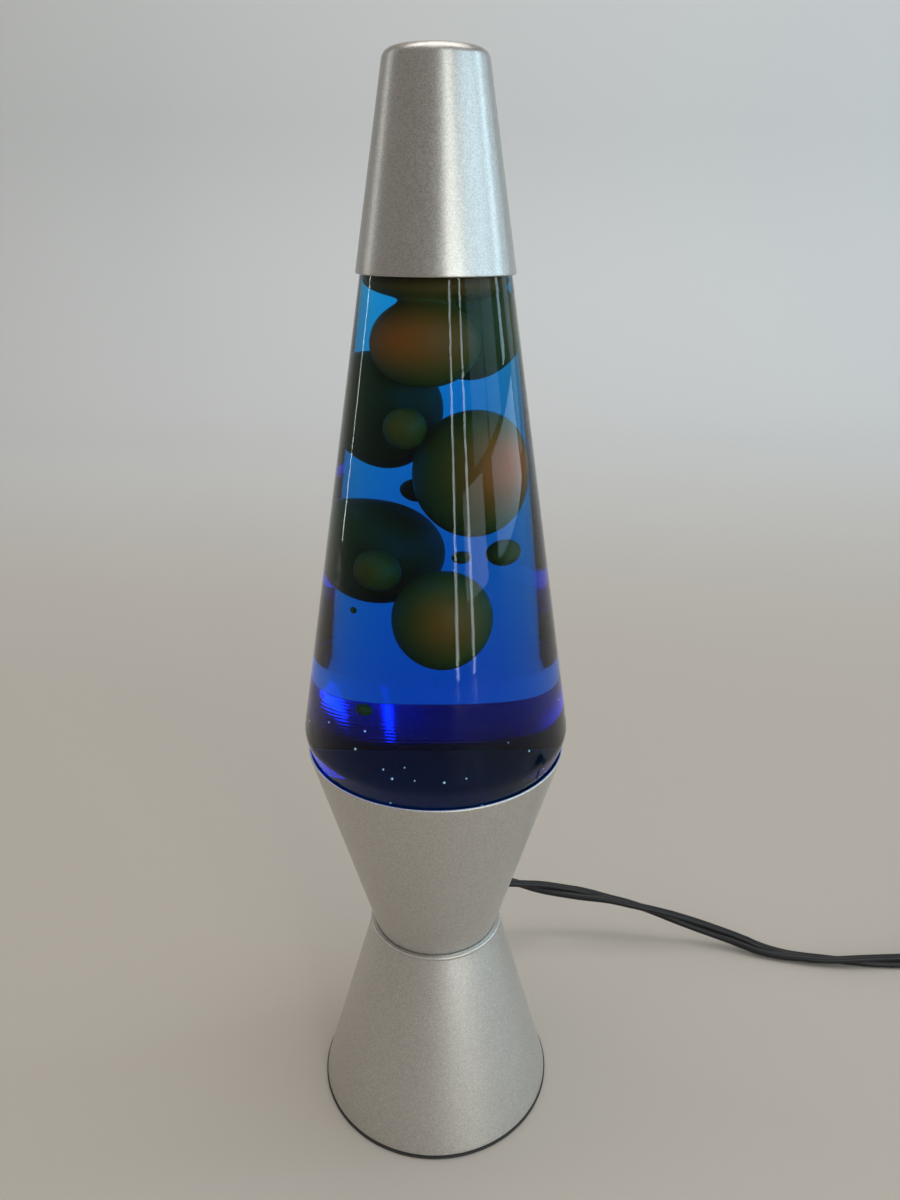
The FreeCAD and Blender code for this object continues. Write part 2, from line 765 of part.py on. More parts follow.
def bent_wire(points, radius_at=None):
    """Straight runs with tangent arcs between them, through points that give the corners."""
    edges = []
    start = points[0]
    for i in range(1, len(points) - 1):
        into = points[i] - points[i - 1]
        out = points[i + 1] - points[i]
        half = into.getAngle(out) / 2
        reach = 0.45 * min(into.Length, out.Length)
        radius = reach / math.tan(half)
        back = points[i] - Vector(into).normalize() * reach
        ahead = points[i] + Vector(out).normalize() * reach
        toward = ((back + ahead) / 2 - points[i]).normalize()
        centre = points[i] + toward * (radius / math.cos(half))
        edges.append(Part.LineSegment(start, back).toShape())
        edges.append(Part.Arc(back, centre - toward * radius, ahead).toShape())
        start = ahead
        if radius_at is not None:
            radius_at.append(round(radius, 1))
    edges.append(Part.LineSegment(start, points[-1]).toShape())
    return Part.Wire(edges)


def tube(name, wire, radius, turning=False):
    """A round tube along a wire, with its length and the share of its volume printed."""
    first = wire.OrderedEdges[0]
    start = first.valueAt(first.FirstParameter)
    ring = Part.Wire(Part.makeCircle(radius, start, first.tangentAt(first.FirstParameter)))
    shape = wire.makePipeShell([ring], True, turning)
    share = shape.Volume / (math.pi * radius ** 2 * wire.Length)
    print(name, "length", round(wire.Length, 1), "share", round(share, 4))
    return shape


wire_top = (belly - 1.5 * mm.support_wire).value
lift = SIZES["support_wire"]
half_span = SIZES["filament_span"] / 2
wires = []
for side in (1, -1):
    low = Vector(side * SIZES["stem_radius"] / 2, 0, stem_top.value)
    wires.append(tube("lead_in_wires", Part.Wire(Part.LineSegment(
        low, Vector(side * half_span, 0, wire_top)).toShape()), SIZES["support_wire"] / 2))
node("lead_in_wires", shaped("LeadInWires", Part.makeCompound(wires)))
sag = SIZES["filament_span"] / 3
node("filament", shaped("Filament", tube("filament", bent_wire([
    Vector(-half_span, 0, wire_top + 0.3 * lift),
    Vector(-half_span / 2, sag, wire_top + 1.5 * lift),
    Vector(half_span / 2, sag, wire_top + 1.5 * lift),
    Vector(half_span, 0, wire_top + 0.3 * lift)]), SIZES["filament_radius"])))

# Globe: conical bottle with a seat cone that runs beside the cup's inner face.
shoulder_height = mm.total_height - mm.shoulder_depth
neck_height = mm.total_height - mm.neck_depth
ring_height = mm.total_height - mm.ring_depth
mouth_height = mm.total_height - mm.mouth_depth
fill_height = mm.total_height - mm.fill_depth
globe_slope = (cup_radius(mm.belly_height) - cup_wall - seat_gap - mm.shoulder_radius) / (
    shoulder_height - mm.belly_height)
upper_wall = mm.globe_wall * root(1 + globe_slope * globe_slope)
lower_wall = mm.globe_wall * root(1 + cup_slope * cup_slope)
inner_floor = mm.globe_floor_height + mm.globe_floor
inner_belly_height = mm.belly_height + (lower_wall - upper_wall) / (globe_slope + cup_slope)
inner_shoulder_height = shoulder_height - mm.globe_wall / 2


def seat_radius(height):
    """Outer radius of the globe below its belly."""
    return cup_radius(height) - cup_wall - seat_gap


def globe_radius(height):
    """Outer radius of the globe above its belly."""
    return mm.shoulder_radius + globe_slope * (shoulder_height - height)


def bore_radius(height):
    """Outer radius of the liquid above the belly."""
    return globe_radius(height) - upper_wall - mm.liquid_gap


ring_top = ring_height + mm.ring_thickness
node("globe", turned([
    (0, mm.globe_floor_height),
    (seat_radius(mm.globe_floor_height), mm.globe_floor_height, mm.globe_floor_round),
    (seat_radius(mm.belly_height), mm.belly_height, mm.belly_round),
    (mm.shoulder_radius, shoulder_height, mm.globe_floor_round),
    (mm.neck_radius, neck_height, mm.ring_thickness),
    (mm.neck_radius, ring_height),
    (mm.ring_radius, ring_height, mm.edge_round),
    (mm.ring_radius, ring_top, mm.edge_round),
    (mm.finish_radius, ring_top),
    (mm.finish_radius, mouth_height, 2 * mm.edge_round),
    (mm.neck_bore_radius, mouth_height, 2 * mm.edge_round),
    (mm.neck_bore_radius, neck_height, mm.globe_wall),
    (globe_radius(inner_shoulder_height) - upper_wall, inner_shoulder_height, mm.globe_wall),
    (globe_radius(inner_belly_height) - upper_wall, inner_belly_height, mm.globe_floor_round),
    (seat_radius(inner_floor) - lower_wall, inner_floor, mm.globe_floor),
    (0, inner_floor),
], "Globe"))

# Wax: pieces that rise and sink, placed as shares of the liquid's height and of the bore.
liquid_floor = inner_floor + mm.liquid_gap
column = fill_height - mm.liquid_gap - liquid_floor


def blob(height, x, y, size_x, size_y, size_z):
    """An ellipsoid of wax and the slightly larger room for it in the liquid."""
    level = liquid_floor + height * column
    bore = bore_radius(level)
    made = []
    for gap in (0, mm.wax_gap):
        ball = doc.addObject("Part::Ellipsoid", "Blob")
        bind(ball, "Radius1", size_z * column + gap)
        bind(ball, "Radius2", size_x * bore + gap)
        bind(ball, "Radius3", size_y * bore + gap)
        made.append(place(ball, x * bore, y * bore, level, Rotation(Vector(0, 0, 1), 180)))
    return made


WAX = {
    "wax_top_mass": [
        (0.967, 0.0, 0.050, 0.930, 0.899, 0.030),
        (0.876, -0.128, -0.328, 0.602, 0.487, 0.071),
        (0.887, 0.296, 0.283, 0.485, 0.426, 0.081)],
    "wax_middle_left": [(0.754, -0.399, 0.307, 0.453, 0.368, 0.101)],
    "wax_middle_ball": [(0.745, -0.289, -0.543, 0.213, 0.190, 0.034)],
    "wax_middle_right": [(0.663, 0.325, -0.241, 0.530, 0.496, 0.109)],
    "wax_middle_bud": [(0.609, -0.132, 0.430, 0.113, 0.113, 0.021)],
    "wax_lower_left": [(0.502, -0.406, 0.196, 0.463, 0.376, 0.097)],
    "wax_lower_ball": [(0.500, -0.456, -0.479, 0.204, 0.189, 0.036)],
    "wax_lower_front": [(0.418, 0.053, -0.477, 0.379, 0.373, 0.090)],
    "wax_droplets": [
        (0.518, 0.192, -0.244, 0.076, 0.076, 0.011),
        (0.526, 0.531, -0.276, 0.151, 0.141, 0.023),
        (0.418, -0.595, -0.281, 0.028, 0.028, 0.006),
        (0.249, -0.482, -0.495, 0.064, 0.059, 0.011)],
}
wax_rooms = []
for name, shares in WAX.items():
    balls, rooms = zip(*(blob(*share) for share in shares))
    if len(balls) == 1:
        node(name, balls[0])
    elif name == "wax_droplets":
        node(name, together(list(balls)))
    else:
        node(name, fused(list(balls)))
    wax_rooms += rooms

# Heat coil: ring of curled spring wire on the globe's floor, round the pool of wax.
ring_radius = seat_radius(mm.globe_floor_height) - mm.coil_inset
pool_radius = ring_radius - mm.pool_inset
coil_reach = mm.coil_curl_radius + mm.coil_wire / 2
coil_height = inner_floor + coil_reach + mm.liquid_gap / 2
curls = SIZES["coil_curls"]
coil_points = []
for i in range(10 * curls - 4):
    round_ring = 2 * math.pi * i / (10 * curls)
    round_curl = 2 * math.pi * i / 10
    reach = ring_radius.value + SIZES["coil_curl_radius"] * math.cos(round_curl)
    coil_points.append(Vector(reach * math.cos(round_ring), reach * math.sin(round_ring),
                              coil_height.value + SIZES["coil_curl_radius"] * math.sin(round_curl)))
curl_path = Part.BSplineCurve()
curl_path.interpolate(coil_points)
node("heat_coil", shaped("HeatCoil", tube("heat_coil", Part.Wire(curl_path.toShape()),
                                          SIZES["coil_wire"] / 2, True)))
coil_room = doc.addObject("Part::Torus", "CoilRoom")
bind(coil_room, "Radius1", ring_radius)
bind(coil_room, "Radius2", coil_reach + mm.liquid_gap)
place(coil_room, 0, 0, coil_height)


def dome(gap):
    """The upper half of a flat ellipsoid on the liquid's floor."""
    shape = doc.addObject("Part::Ellipsoid", "Dome")
    bind(shape, "Radius1", mm.pool_depth + gap)
    bind(shape, "Radius2", pool_radius + gap)
    bind(shape, "Radius3", pool_radius + gap)
    return place(shape, 0, 0, liquid_floor)


pool = dome(0)
pool.Angle1 = 0
node("wax_pool", pool)

# Liquid: fills the bore up to the shoulder, round the wax and the heat coil.
liquid_blank = turned([
    (0, liquid_floor),
    (seat_radius(liquid_floor) - lower_wall - mm.liquid_gap, liquid_floor, mm.globe_floor),
    (bore_radius(inner_belly_height), inner_belly_height, mm.globe_floor_round),
    (bore_radius(fill_height), fill_height),
    (0, fill_height),
], "LiquidBlank")
liquid = liquid_blank
for room in wax_rooms + [coil_room, dome(mm.wax_gap)]:
    liquid = cut(liquid, [room])
node("liquid", liquid)

# Crown cap with a crimped skirt, and its liner on the bottle's mouth.
liner_top = mouth_height + mm.liner_thickness
crown_top = liner_top + mm.crown_sheet
crown_low = crown_top - mm.crown_skirt_depth
crown_edge = mm.finish_radius + mm.crown_sheet + mm.liquid_gap
crown_blank = turned([
    (0, liner_top),
    (crown_edge - mm.crown_sheet, liner_top),
    (mm.crown_skirt_radius - mm.crown_sheet, crown_low),
    (mm.crown_skirt_radius, crown_low),
    (crown_edge, crown_top, mm.liner_thickness),
    (0, crown_top),
], "CrownBlank")
flute_radius = mm.crown_skirt_radius * math.pi / (3 * SIZES["crown_flutes"])
flutes = [cylinder(flute_radius, mm.crown_skirt_radius / 2, mm.crown_skirt_radius * c * 0.75,
                   mm.crown_skirt_radius * s * 0.75, crown_low, Rotation(Vector(0, 0, 1), Vector(c, s, 0)))
          for c, s, _ in around(SIZES["crown_flutes"])]
node("crown_cap", cut(crown_blank, flutes))
node("crown_liner", turned([
    (0, mouth_height),
    (mm.finish_radius - mm.crown_sheet, mouth_height),
    (mm.finish_radius - mm.crown_sheet, liner_top),
    (0, liner_top),
], "CrownLiner"))

# Cap: spun cone with a closed top that stands on the globe's shoulder line.
cap_base_height = mm.total_height - mm.cap_depth
cap_slope = (globe_radius(cap_base_height) + mm.seat_gap + mm.cap_sheet - mm.cap_top_radius) / (
    mm.total_height - cap_base_height)
cap_wall = mm.cap_sheet * root(1 + cap_slope * cap_slope)
cap_base_radius = globe_radius(cap_base_height) + mm.seat_gap + cap_wall
under_top = mm.total_height - mm.cap_sheet
node("cap", turned([
    (cap_base_radius - cap_wall, cap_base_height, mm.edge_round),
    (cap_base_radius, cap_base_height, mm.edge_round),
    (mm.cap_top_radius, mm.total_height, mm.cap_round),
    (0, mm.total_height),
    (0, under_top),
    (mm.cap_top_radius + cap_slope * mm.cap_sheet - cap_wall, under_top, mm.cap_round - mm.cap_sheet),
], "Cap"))

# Bushing: relief outside the foot's wall, barrel through it, snap ring inside, two lead bores.
exit_side = Vector(math.cos(azimuth), -math.sin(azimuth), 0)
exit_frame = Rotation(exit_side, exit_axis.cross(exit_side), exit_axis, "ZXY")
inside = mm.bushing_inside
ring_start = inside - 3 * mm.base_sheet
flange_start = inside + mm.bushing_fit
tip = inside + mm.bushing_outside
bushing_blank = turned([
    (0, 0),
    (mm.bushing_barrel_radius - mm.base_sheet, 0, mm.edge_round),
    (mm.bushing_barrel_radius + mm.base_sheet, ring_start - mm.bushing_flange / 2),
    (mm.bushing_barrel_radius + mm.base_sheet, ring_start),
    (mm.bushing_barrel_radius, ring_start),
    (mm.bushing_barrel_radius, flange_start),
    (mm.bushing_flange_radius, flange_start, mm.edge_round),
    (mm.bushing_flange_radius, flange_start + mm.bushing_flange, mm.edge_round),
    (mm.bushing_root_radius, flange_start + mm.bushing_flange),
    (mm.bushing_tip_radius, tip, mm.edge_round),
    (0, tip),
], "BushingBlank")
lead_offset = mm.lead_radius + mm.bushing_fit / 2
bores = [cylinder(mm.lead_radius + mm.bushing_fit, 2 * tip, side * lead_offset, 0, -tip / 2)
         for side in (1, -1)]
bushing = cut(bushing_blank, bores)
bushing.Placement = Placement(exit_spot - exit_axis * inside.value, exit_frame)
node("cord_bushing", bushing)

# Inner leads from the bushing's tip to the lampholder's terminal wells.
cord_start = exit_spot + exit_axis * SIZES["bushing_outside"]
cord_radius = SIZES["cord_width"] / 2
for name, side in (("lead_live", -1), ("lead_neutral", 1)):
    shift = exit_side * (side * lead_offset.value)
    radii = []
    corner_height = exit_spot.z - exit_reach.value * math.tan(exit_tilt)
    path = bent_wire([
        cord_start + shift,
        cord_start + shift - exit_axis * (1.1 * tip.value),
        Vector(side * SIZES["terminal_offset"], 0, corner_height),
        Vector(side * SIZES["terminal_offset"], 0, (well_top - mm.rivet_head).value)], radii)
    node(name, shaped(name.title().replace("_", ""), tube(name, path, SIZES["lead_radius"])))
    print(name, "bends", radii)

# Cord from the bushing, down to the floor and along it, up to the switch.
# Its corners are shares of the level way to the switch: along it, aside, and above the resting cord.
switch_height = SIZES["switch_half_height"]
near_end, row = SIZES["switch_near_end"], SIZES["switch_row"]
span = near_end - cord_start.x
radii = []
run = [cord_start, cord_start + exit_axis * SIZES["cord_lead_out"]]
for along, aside, up in (
        (0.073, 0.072, 0.118),
        (0.133, 0.080, 0.098),
        (0.310, 0.068, 0.075),
        (0.486, 0.048, 0.019),
        (0.583, 0.016, 0),
        (0.711, -0.007, 0),
        (0.839, -0.008, 0)):
    run.append(Vector(cord_start.x + along * span, row + aside * span, cord_radius + up * span))
run += [Vector(near_end - SIZES["switch_lead_out"], row, switch_height), Vector(near_end, row, switch_height)]
node("cord_run", shaped("CordRun", tube("cord_run", bent_wire(run, radii), cord_radius)))
print("cord_run bends", radii)
far_end = near_end + SIZES["switch_length"]
coil_start, coil_row = SIZES["coil_start"], SIZES["coil_row"]
tail_span = coil_start - far_end
radii = []
tail = [
    Vector(far_end, row, switch_height),
    Vector(far_end + SIZES["switch_lead_out"], row, switch_height),
    Vector(far_end + 0.48 * tail_span, coil_row + 0.4 * (row - coil_row), cord_radius),
    Vector(far_end + 0.75 * tail_span, coil_row, cord_radius),
    Vector(coil_start, coil_row, cord_radius)]
node("cord_tail", shaped("CordTail", tube("cord_tail", bent_wire(tail, radii), cord_radius)))
print("cord_tail bends", radii)

# Put away length: half circles inwards on the floor, one that climbs, and outwards on top.
step = (SIZES["cord_width"] + SIZES["coil_turn_gap"]) / 2
layer = SIZES["cord_width"] + SIZES["coil_turn_gap"]
inward = SIZES["coil_half_turns"] // 2
low_turns = [SIZES["coil_outer_turn"] - step * i for i in range(inward + 1)]
top_turns = [low_turns[-1] - SIZES["coil_climb_step"]] + low_turns[:-1][::-1]
crossings = [(r, cord_radius) for r in low_turns] + [(r, cord_radius + layer) for r in top_turns]
coil_row_centre = coil_row - SIZES["coil_outer_turn"]
spots = [Vector(coil_start, coil_row_centre + (r if i % 2 == 0 else -r), z)
         for i, (r, z) in enumerate(crossings)]
edges = []
for i, (here, there) in enumerate(zip(spots, spots[1:])):
    half = (there - here).Length / 2
    out = Vector(half if i % 2 == 0 else -half, 0, 0)
    middle = (here + there) / 2
    edges.append(Part.Arc(here, middle + out, there).toShape())
plug_height = SIZES["plug_thickness"] / 2
bend_radius = SIZES["coil_exit_bend"]
drop = (spots[-1].z - plug_height) / 2
angle = math.acos(1 - drop / bend_radius)
reach = bend_radius * math.sin(angle)
first = spots[-1] - Vector(SIZES["cord_width"], 0, 0)
centre = first - Vector(0, 0, bend_radius)
mid = centre + Vector(-math.sin(angle / 2), 0, math.cos(angle / 2)) * bend_radius
second = first + Vector(-reach, 0, -drop)
third = second + Vector(-reach, 0, -drop)
other = third + Vector(0, 0, bend_radius)
low = other - Vector(-math.sin(angle / 2), 0, math.cos(angle / 2)) * bend_radius
last = third - Vector(1.5 * SIZES["cord_width"], 0, 0)
edges.append(Part.LineSegment(spots[-1], first).toShape())
edges.append(Part.Arc(first, mid, second).toShape())
edges.append(Part.Arc(second, low, third).toShape())
edges.append(Part.LineSegment(third, last).toShape())
coil_wire = Part.Wire(edges)
node("cord_coil", shaped("CordCoil", tube("cord_coil", coil_wire, cord_radius)))

# Inline switch: two shells, thumbwheel on its own axle, contact strips and a screw.
centre_x = mm.switch_near_end + mm.switch_length / 2
wheel_y = mm.switch_row - mm.switch_width / 2 + mm.wheel_radius - mm.wheel_proud
half_wheel = mm.wheel_thickness / 2
axle_reach = half_wheel + mm.wheel_gap + mm.switch_wall
screw_x = centre_x + mm.switch_screw_offset


def switch_shell(name, low, room_low, screw_cuts):
    """Half of the switch body, with rooms for wheel and strips."""
    shell = padded([
        (0, 0, mm.switch_round),
        (mm.switch_length, 0, mm.switch_round),
        (mm.switch_length, mm.switch_width, mm.switch_round),
        (0, mm.switch_width, mm.switch_round),
    ], mm.switch_half_height, "SwitchShell")
    place(shell, mm.switch_near_end, mm.switch_row - mm.switch_width / 2, low)
    room = half_wheel + mm.wheel_gap
    rooms = [
        cylinder(mm.wheel_radius + mm.wheel_gap, room, centre_x, wheel_y, room_low),
        cylinder(mm.axle_radius + mm.axle_fit, 2 * axle_reach, centre_x, wheel_y,
                 mm.switch_half_height - axle_reach),
        block(4 * mm.wheel_radius, 2 * mm.strip_width, room, centre_x - 2 * mm.wheel_radius,
              mm.switch_row + mm.wheel_gap, room_low),
    ]
    return node(name, cut(shell, rooms + screw_cuts))


head_room = cylinder(mm.switch_screw_head_radius + mm.bushing_fit, mm.switch_screw_head + mm.wheel_gap,
                     screw_x, mm.switch_row, 0)
screw_room = cylinder(mm.switch_screw_radius + mm.axle_fit, 2 * mm.switch_half_height - mm.switch_wall,
                      screw_x, mm.switch_row, 0)
switch_shell("switch_bottom", 0, mm.switch_half_height - half_wheel - mm.wheel_gap,
             [head_room, screw_room])
switch_shell("switch_top", mm.switch_half_height, mm.switch_half_height, [screw_room])
wheel_blank = cylinder(mm.wheel_radius, mm.wheel_thickness, centre_x, wheel_y,
                       mm.switch_half_height - half_wheel)
axle = cylinder(mm.axle_radius, 2 * axle_reach - mm.wheel_gap, centre_x, wheel_y,
                mm.switch_half_height - axle_reach + mm.wheel_gap / 2)
notches = [cylinder(mm.wheel_gap, 2 * mm.wheel_thickness, centre_x + mm.wheel_radius * c,
                    wheel_y + mm.wheel_radius * s, mm.switch_half_height - mm.wheel_thickness)
           for c, s, _ in around(SIZES["wheel_notches"])]
node("switch_wheel", cut(fused([wheel_blank, axle]), notches))
strip_row = mm.switch_row + mm.wheel_gap + mm.strip_width
node("switch_contacts", together([
    block(mm.strip_length, mm.strip_width, mm.strip_thickness, x, strip_row,
          mm.switch_half_height - half_wheel - mm.wheel_gap)
    for x in (centre_x - 2 * mm.wheel_radius + mm.wheel_gap,
              centre_x + 2 * mm.wheel_radius - mm.wheel_gap - mm.strip_length)]))
head_top = mm.switch_screw_head + mm.wheel_gap
screw_end = 2 * mm.switch_half_height - mm.switch_wall - mm.wheel_gap
node("switch_screw", place(turned([
    (0, mm.wheel_gap),
    (mm.switch_screw_head_radius, mm.wheel_gap, mm.switch_screw_head / 2),
    (mm.switch_screw_head_radius, head_top),
    (mm.switch_screw_radius, head_top),
    (mm.switch_screw_radius, screw_end),
    (0, screw_end),
], "SwitchScrew"), screw_x, mm.switch_row))

# Plug: moulded body with a ribbed relief, lying beside the coil, and two unequal blades.
plug_back = last.x
face_x = plug_back - SIZES["plug_relief_length"] - SIZES["plug_length"]
plug_row = spots[-1].y
grip = 0.6 * mm.plug_length
waist = mm.plug_width * 0.3
plug_body = padded([
    (0, 0, mm.switch_round / 2),
    (grip, 0, mm.switch_round),
    (mm.plug_length, waist, mm.switch_round / 2),
    (mm.plug_length, mm.plug_width - waist, mm.switch_round / 2),
    (grip, mm.plug_width, mm.switch_round),
    (0, mm.plug_width, mm.switch_round / 2),
], mm.plug_thickness, "PlugBody")
plug_body.Placement = Placement(Vector(face_x, plug_row - SIZES["plug_width"] / 2, 0), Rotation())
relief = doc.addObject("Part::Cone", "Relief")
bind(relief, "Radius1", 1.3 * mm.plug_relief_radius)
bind(relief, "Radius2", mm.plug_relief_radius)
bind(relief, "Height", mm.plug_relief_length + mm.blade_root)
relief.Placement = Placement(Vector(plug_back - SIZES["plug_relief_length"] - SIZES["blade_root"],
                                    plug_row, plug_height), Rotation(Vector(0, 0, 1), Vector(1, 0, 0)))
blade_rooms = []
for name, side, width in (("plug_blade_narrow", 1, mm.blade_narrow), ("plug_blade_wide", -1, mm.blade_wide)):
    spot = Vector(face_x - SIZES["blade_length"],
                  plug_row + side * SIZES["blade_spacing"] / 2 - SIZES["blade_thickness"] / 2,
                  plug_height - width.value / 2)
    for kind in ("blade", "room"):
        blade = block(mm.blade_length + mm.blade_root, mm.blade_thickness, width)
        blade.Placement = Placement(spot, Rotation())
        if kind == "room":
            blade_rooms.append(blade)
            continue
        eye = cylinder(mm.blade_hole_radius, 3 * mm.blade_thickness)
        eye.Placement = Placement(spot + Vector(SIZES["blade_hole_offset"], -SIZES["blade_thickness"],
                                                width.value / 2), Rotation(Vector(0, 0, 1), Vector(0, 1, 0)))
        node(name, cut(blade, [eye]))
node("plug", cut(fused([plug_body, relief]), blade_rooms))

doc.recompute()
os.makedirs("parts", exist_ok=True)
for obj in doc.Objects:
    if "Invalid" in obj.State or "Error" in obj.State:
        raise RuntimeError(f"{obj.Name} did not build")
for name, obj in nodes.items():
    if obj.Shape.isNull() or not obj.Shape.isValid() or not obj.Shape.Solids:
        raise RuntimeError(f"{name} has no good solid")
    obj.Shape.exportStep(f"parts/{name}.step")
    print(f"{name}: {len(obj.Shape.Solids)} solids, {obj.Shape.Volume:.0f} cubic mm")
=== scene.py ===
import math
import random

import bmesh
import bpy
from mathutils import Matrix, Vector, noise


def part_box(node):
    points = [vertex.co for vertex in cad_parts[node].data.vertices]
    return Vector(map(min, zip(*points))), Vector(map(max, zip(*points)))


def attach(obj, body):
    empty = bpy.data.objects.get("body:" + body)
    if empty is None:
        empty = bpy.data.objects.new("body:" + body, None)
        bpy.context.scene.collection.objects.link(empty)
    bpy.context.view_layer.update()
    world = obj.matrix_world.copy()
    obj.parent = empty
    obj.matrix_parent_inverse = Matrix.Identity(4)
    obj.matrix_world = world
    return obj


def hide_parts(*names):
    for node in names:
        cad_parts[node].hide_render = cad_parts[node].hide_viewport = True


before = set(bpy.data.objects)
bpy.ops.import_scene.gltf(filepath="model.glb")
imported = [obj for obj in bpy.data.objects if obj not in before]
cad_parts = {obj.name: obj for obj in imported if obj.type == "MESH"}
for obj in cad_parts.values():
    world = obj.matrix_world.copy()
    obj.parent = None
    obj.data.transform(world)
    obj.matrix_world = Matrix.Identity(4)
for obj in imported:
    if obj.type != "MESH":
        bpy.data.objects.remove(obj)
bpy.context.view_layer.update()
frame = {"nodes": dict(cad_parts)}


# Camera and room.
# The camera is held close in front of the lamp and looks down at it. Floor and backdrop are one plain
# matt sheet that sweeps up behind the lamp, and fades far off into the light of the room.
look_down, roll = 22.1, 0.35
focal_pixels, image_height = 924.3, 1200
camera = bpy.data.objects.new("camera", bpy.data.cameras.new("camera"))
bpy.context.scene.collection.objects.link(camera)
camera.location = (0.00469, -0.2869, 0.3243)
camera.rotation_euler = (Matrix.Rotation(math.radians(90 - look_down), 4, "X")
                         @ Matrix.Rotation(math.radians(roll), 4, "Z")).to_euler()
camera.data.sensor_width = 36
camera.data.lens = camera.data.sensor_width * focal_pixels / image_height
camera.data.clip_start = 0.01
bpy.context.scene.camera = camera
bpy.context.scene.view_settings.view_transform = "Standard"


class Maths:
    """A socket's number, on which operators add Math nodes."""

    def __init__(self, paint, socket):
        self.paint = paint
        self.socket = socket

    def step(self, kind, *values):
        return self.paint.add("Math", {"operation": kind}, *values)

    def __add__(self, other):
        return self.step("ADD", self, other)

    def __sub__(self, other):
        return self.step("SUBTRACT", self, other)

    def __rsub__(self, other):
        return self.step("SUBTRACT", other, self)

    def __mul__(self, other):
        return self.step("MULTIPLY", self, other)

    __radd__ = __add__
    __rmul__ = __mul__


class Paint:
    """A material whose nodes come from one method."""

    def __init__(self, name):
        self.material = bpy.data.materials.new(name)
        self.material.use_nodes = True
        self.tree = self.material.node_tree
        self.tree.nodes.clear()
        self.output = self.tree.nodes.new("ShaderNodeOutputMaterial")

    def add(self, kind, settings, *values, out=0, **named):
        """A node: its type, its settings, then values or links by the place or name of the socket."""
        node = self.tree.nodes.new("ShaderNode" + kind)
        for key, value in settings.items():
            setattr(node, key, value)
        pairs = list(enumerate(values)) + [(key.replace("_", " "), value) for key, value in named.items()]
        for key, value in pairs:
            if isinstance(value, Maths):
                self.tree.links.new(value.socket, node.inputs[key])
            else:
                node.inputs[key].default_value = value
        return Maths(self, node.outputs[out])

    def mix(self, share, one, other):
        """A colour between two colours."""
        share_in, one_in, other_in, color_out = 0, 6, 7, 2
        node = self.tree.nodes.new("ShaderNodeMix")
        node.data_type = "RGBA"
        self.tree.links.new(share.socket, node.inputs[share_in])
        node.inputs[one_in].default_value = (*one, 1)
        node.inputs[other_in].default_value = (*other, 1)
        return Maths(self, node.outputs[color_out])

    def done(self, surface, volume=None):
        """The finished material."""
        self.tree.links.new(surface.socket, self.output.inputs["Surface"])
        if volume is not None:
            self.tree.links.new(volume.socket, self.output.inputs["Volume"])
        return self.material


day_color, day_strength = (0.88, 0.83, 0.77, 1), 0.34
table_color, wall_color = (0.44, 0.40, 0.355), (0.60, 0.60, 0.595)
table_end, wall_start = 0.25, 1.3
fade_start, fade_end = 2.1, 2.7
room = Paint("room_sheet")
room_spot = room.add("TexCoord", {}, out="Object")
depth = room.add("SeparateXYZ", {}, room_spot, out="Y")
wall_share = room.add("MapRange", {"interpolation_type": "SMOOTHSTEP"}, depth, table_end, wall_start, 0.0, 1.0)
sheet = room.add("BsdfPrincipled", {}, Base_Color=room.mix(wall_share, table_color, wall_color),
                 Roughness=0.55, Specular_IOR_Level=0.25)
distance = room.add("VectorMath", {"operation": "LENGTH"}, room_spot, out="Value")
fade = room.add("MapRange", {"interpolation_type": "SMOOTHSTEP"}, distance, fade_start, fade_end, 0.0, 1.0)
daylight = room.add("Emission", {}, day_color, day_strength)
room_material = room.done(room.add("MixShader", {}, fade, sheet, daylight))
sheet_reach, sheet_top = 8.0, 6.0
sweep_start, sweep_radius, sweep_step = 1.2, 0.5, math.radians(9)
sweep = [(sweep_start + sweep_radius * math.sin(sweep_step * i),
          sweep_radius - sweep_radius * math.cos(sweep_step * i)) for i in range(11)]
bm = bmesh.new()
rows = [[bm.verts.new((x, y, z)) for x in (-sheet_reach, sheet_reach)]
        for y, z in [(-sheet_reach, 0.0)] + sweep + [(sweep_start + sweep_radius, sheet_top)]]
for low, high in zip(rows, rows[1:]):
    bm.faces.new((low[0], low[1], high[1], high[0]))
room_mesh = bpy.data.meshes.new("room_sheet")
bm.to_mesh(room_mesh)
bm.free()
room_mesh.materials.append(room_material)
room_mesh.shade_smooth()
room_sheet = bpy.data.objects.new("room_sheet", room_mesh)
bpy.context.scene.collection.objects.link(room_sheet)

world = bpy.data.worlds.new("studio")
bpy.context.scene.world = world
world.use_nodes = True
background = world.node_tree.nodes["Background"]
background.inputs["Color"].default_value = day_color
background.inputs["Strength"].default_value = day_strength


# Light.
# Cool panes of a tall window stand on the right, over a low pale strip. Nearer ones at the front right and
# a narrow one at the left rear give the streaks on glass and lacquer. A ceiling and a wall wash fill the rest.
def lamp(name, place, aim, size, power, color):
    """A soft rectangular light."""
    data = bpy.data.lights.new(name, "AREA")
    data.shape = "RECTANGLE"
    data.size, data.size_y = size
    data.energy = power
    data.color = color
    light = bpy.data.objects.new(name, data)
    light.location = place
    light.visible_camera = False
    light.rotation_euler = (Vector(aim) - Vector(place)).to_track_quat("-Z", "Y").to_euler()
    bpy.context.scene.collection.objects.link(light)


